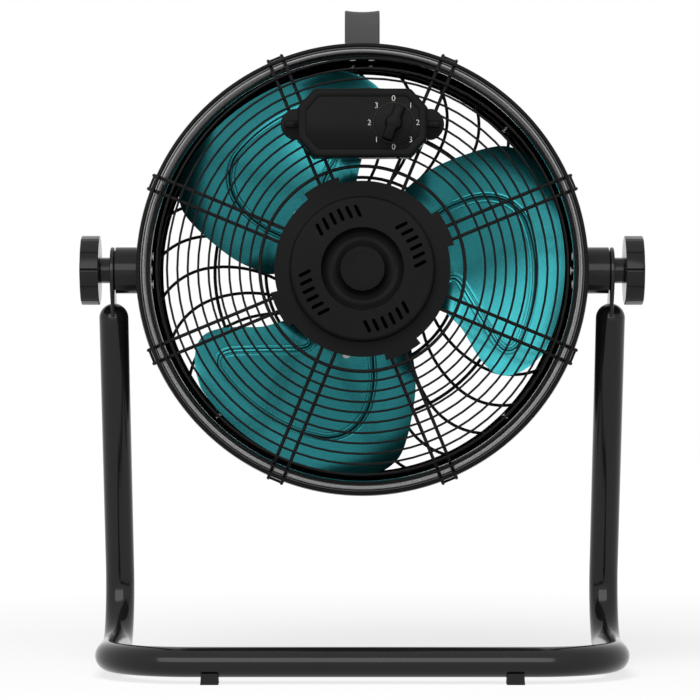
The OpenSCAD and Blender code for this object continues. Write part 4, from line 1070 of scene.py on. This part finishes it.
def pill(side):
    """The screw boss beside the housing."""
    x0, x1 = BOX_W / 2 - PILL_SUNK, BOX_W / 2 + PILL_L - PILL_SHORT
    levels = []
    for inset, drop in [(0, PILL_H)] + PILL_EDGE:
        h = PILL_W / 2 - inset
        corners = [(x1 - inset, h), (x0, h), (x0, -h), (x1 - inset, -h)]
        levels.append((rounded_polygon(corners, PILL_CORNER_R, 4), BOX_SHELL_Z + PILL_H - drop))
    return stack(levels, lambda x, y, z: box_place(side * x, y, z))


def plate_outline(inset):
    """Outline of the back plate: the housing's, with a round ear at each side."""
    w, h = BOX_W / 2 + PLATE_OVER_W - inset, BOX_H / 2 + PLATE_OVER_H - inset
    ear = EAR_R - inset
    right = [(w, BOX_CUT_H - h), (w, -ear * EAR_SHARE)]
    right += [(EAR_X + ear * math.cos(a), ear * math.sin(a))
              for a in (math.radians(2 * EAR_SWEEP * i / EAR_STEPS - EAR_SWEEP)
                        for i in range(EAR_STEPS + 1))]
    right += [(w, ear * EAR_SHARE), (w, h - BOX_CUT_H), (w - BOX_CUT_W, h)]
    return right + [(-x, -y) for x, y in right]


def build_back_plate():
    levels = [(plate_outline(inset), z) for inset, z in PLATE_LEVELS]
    verts, faces = stack(levels, box_place)
    add_piece("control_back_plate", verts, faces, "head", "black_plastic", ["box_back_plate"],
              sharp_angle=40)


def dial_place(x, y, z):
    return head_point(DIAL_X + x, BOX_Y + y, DIAL_Z + z)


def grip_outline(inset, reach):
    """Outline of the grip: a bar with a wider middle, its rounded ends at about that reach."""
    half = GRIP_W / 2 - inset
    bulge = GRIP_BULGE_D / 2 - inset
    right = []
    for i in range(GRIP_STEPS + 1):
        v = reach * (i / (GRIP_STEPS / 2) - 1)
        near = math.exp(-(v / (bulge * GRIP_WIDE)) ** 4)
        right.append((half + (bulge - half) * near, v * (1 - GRIP_DRAWN * near)))
    top, end = right[-1]
    side = right + [(top * math.cos(a), end + reach * GRIP_END * math.sin(a))
                    for a in (math.radians(15 * i) for i in range(1, 12))]
    return side + [(-x, -y) for x, y in side]


def grip_place(x, y, z):
    """A point of the grip, turned with it, its top falling towards its ends."""
    turn = math.radians(GRIP_ANGLE)
    sag = GRIP_SAG * (y / (DIAL_D / 2)) ** 2 if z > DIAL_BASE_H + 2 else 0
    return dial_place(x * math.cos(turn) - y * math.sin(turn),
                      x * math.sin(turn) + y * math.cos(turn), z - sag)


def build_dial():
    base = [(round_section(DIAL_D / 2 - inset, DIAL_STEPS), z) for inset, z in DIAL_RIM]
    reach = DIAL_D / 2 * GRIP_REACH
    grip = [(grip_outline(inset, reach + change), z) for inset, change, z in GRIP_LEVELS]
    verts, faces = join_lists([stack(base, dial_place), stack(grip, grip_place)])
    add_piece("dial_knob", verts, faces, "dial", "knob_plastic", ["speed_knob"], sharp_angle=45,
              look="dial_plastic")


def build_dial_marks():
    """The speed numbers round the dial, and the thin shadow ring it turns in."""
    for i, digit in enumerate(DIAL_MARKS):
        a = math.radians(90 - 360 / len(DIAL_MARKS) * i)
        curve = bpy.data.curves.new("mark_%d" % i, "FONT")
        curve.body = digit
        curve.size = DIGIT_H * MM / DIGIT_CAP
        curve.align_x = "CENTER"
        curve.align_y = "CENTER"
        curve.extrude = DIGIT_RAISE * MM
        curve.offset = DIGIT_THIN * MM
        curve.materials.append(MATERIALS["switch_plastic"])
        obj = add_object("dial_mark_%d" % i, curve)
        obj.location = head_point(DIAL_X + DIGIT_R * math.cos(a), BOX_Y + DIGIT_R * math.sin(a),
                                  BOX_FRONT_Z)
        obj.rotation_euler = (math.radians(90), 0, 0)
        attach(obj, "head")
    ring = [head_point(DIAL_X + x, BOX_Y + y, BOX_FRONT_Z)
            for x, y in round_section(DIAL_D / 2 + SEAT_RING_OUT, DIAL_STEPS)]
    verts, faces = wire(ring, SEAT_RING_D, (0, 1, 0), closed=True, sides=6)
    add_piece("dial_seat_ring", verts, faces, "head", "knob_plastic")


# Clamps and handle


def knob_profile():
    """Half section of a clamp knob: (x, radius, share of the groove's depth), in mm."""
    near, far = KNOB_X0, KNOB_X0 + KNOB_T
    neck, outer, cap = NECK_D / 2, KNOB_D / 2, KNOB_CAP_D / 2
    return [(NECK_X, neck, 0), (near - 1.2, neck, 0), (near - 0.3, neck + 0.5, 0), (near, neck + 2, 0),
            (near, outer - 7, 0.1), (near, outer - 0.7, 1), (near + 0.2, outer - 0.25, 1),
            (near + 0.7, outer, 1), (far - 1.1, outer, 1), (far - 0.45, outer - 0.25, 1),
            (far - 0.1, outer - 0.8, 1), (far, outer - 1.6, 0.9), (far + 0.25, outer - 8, 0),
            (far + 0.3, cap + 1.2, 0), (far - 0.3, cap + 0.5, 0), (far + 0.4, cap, 0),
            (far + 1.1, cap - 0.5, 0), (far + KNOB_CAP_H, cap - 3, 0)]


def knob_radius(full, a, depth):
    """Radius at an angle: a flattened facet, and a narrow groove at each of its ends."""
    half = math.pi / KNOB_LOBES
    off = (a % (2 * half)) - half
    chord = full * (1 - KNOB_FACET * (1 - math.cos(half) / math.cos(off)))
    return chord - depth * smoothstep(KNOB_FLAT, 1.0, abs(off) / half)


def build_hand_knob(side, name, hides, body):
    """A clamp knob turned about the tilt axis."""
    turns = [2 * math.pi * k / KNOB_SIDES for k in range(KNOB_SIDES)]
    levels = []
    for x, radius, share in knob_profile():
        radii = [knob_radius(radius, a, KNOB_GROOVE * share) for a in turns]
        levels.append(([(r * math.cos(a), r * math.sin(a)) for r, a in zip(radii, turns)], x))
    verts, faces = stack(levels, lambda u, v, x: Vector((side * x, PIVOT_Y + u, AXIS_HEIGHT + v)) * MM,
                         close_first=False)
    add_piece(name, verts, faces, body, "knob_plastic", hides, sharp_angle=24, look="gloss_plastic")


def build_handle():
    """A bent strap, slightly arched across, with rounded edges."""
    low = DRUM_OR + STRAP_GAP
    top = STRAP_TOP - STRAP_T / 2
    foot = low + STRAP_T / 2
    z1, z0 = STRAP_Z - STRAP_T / 2, STRAP_Z - STRAP_LEN + STRAP_T / 2
    bend, low_bend = HANDLE_BEND + STRAP_T / 2, FOOT_BEND + STRAP_T / 2
    path = [(z1 - FOOT_L, foot)]
    path += arc_points((z1 - low_bend, foot + low_bend), low_bend, -90, 0, FOOT_STEPS)
    path += arc_points((z1 - bend, top - bend), bend, 0, 90, HANDLE_STEPS)
    path += arc_points((z0 + bend, top - bend), bend, 90, 180, HANDLE_STEPS)
    path += arc_points((z0 + low_bend, foot + low_bend), low_bend, 180, 270, FOOT_STEPS)
    path.append((z0 + FOOT_L, foot))
    points = [head_point(0, y, z) for z, y in path]
    half, edge = STRAP_W / 2, STRAP_T / 2
    small = edge * STRAP_ROUND
    places = [1 - 2 * i / FACE_STEPS for i in range(1, FACE_STEPS)]
    section = [(half - small + u, v * edge / small)
               for u, v in arc_points((0, 0), small, -90, 90, EDGE_STEPS)]
    section += [(half * t * STRAP_FACE, edge + STRAP_ARCH * (1 - t ** 2)) for t in places]
    section += [(u - half + small, v * edge / small)
                for u, v in arc_points((0, 0), small, 90, 270, EDGE_STEPS)]
    section += [(-half * t * STRAP_FACE, STRAP_ARCH * (1 - t ** 2) - edge) for t in places]
    scaled = [(u * MM, v * MM) for u, v in section]
    verts, faces = sweep(points, [scaled] * len(points), (1, 0, 0))
    add_piece("handle_strap", verts, faces, "head", "grey_paint", ["carry_handle"], sharp_angle=45)


# Scene

build_camera()
build_world()
build_stage()
build_lights()
MATERIALS = make_materials()
dress_frame(MATERIALS)
PANEL = rounded_polygon([(r * math.cos(math.radians(a)), r * math.sin(math.radians(a)))
                         for a, r in PANEL_CORNERS], PANEL_CORNER_R)
build_drum()
build_ribs()
build_spiral()
build_blades()
build_stand()
build_control_box()
build_back_plate()
build_dial()
build_dial_marks()
build_hand_knob(-1, "left_knob", ["left_hand_knob"], "left_clamp")
build_hand_knob(1, "right_knob", ["right_hand_knob"], "right_clamp")
build_handle()
bpy.context.scene.view_settings.view_transform = "Standard"
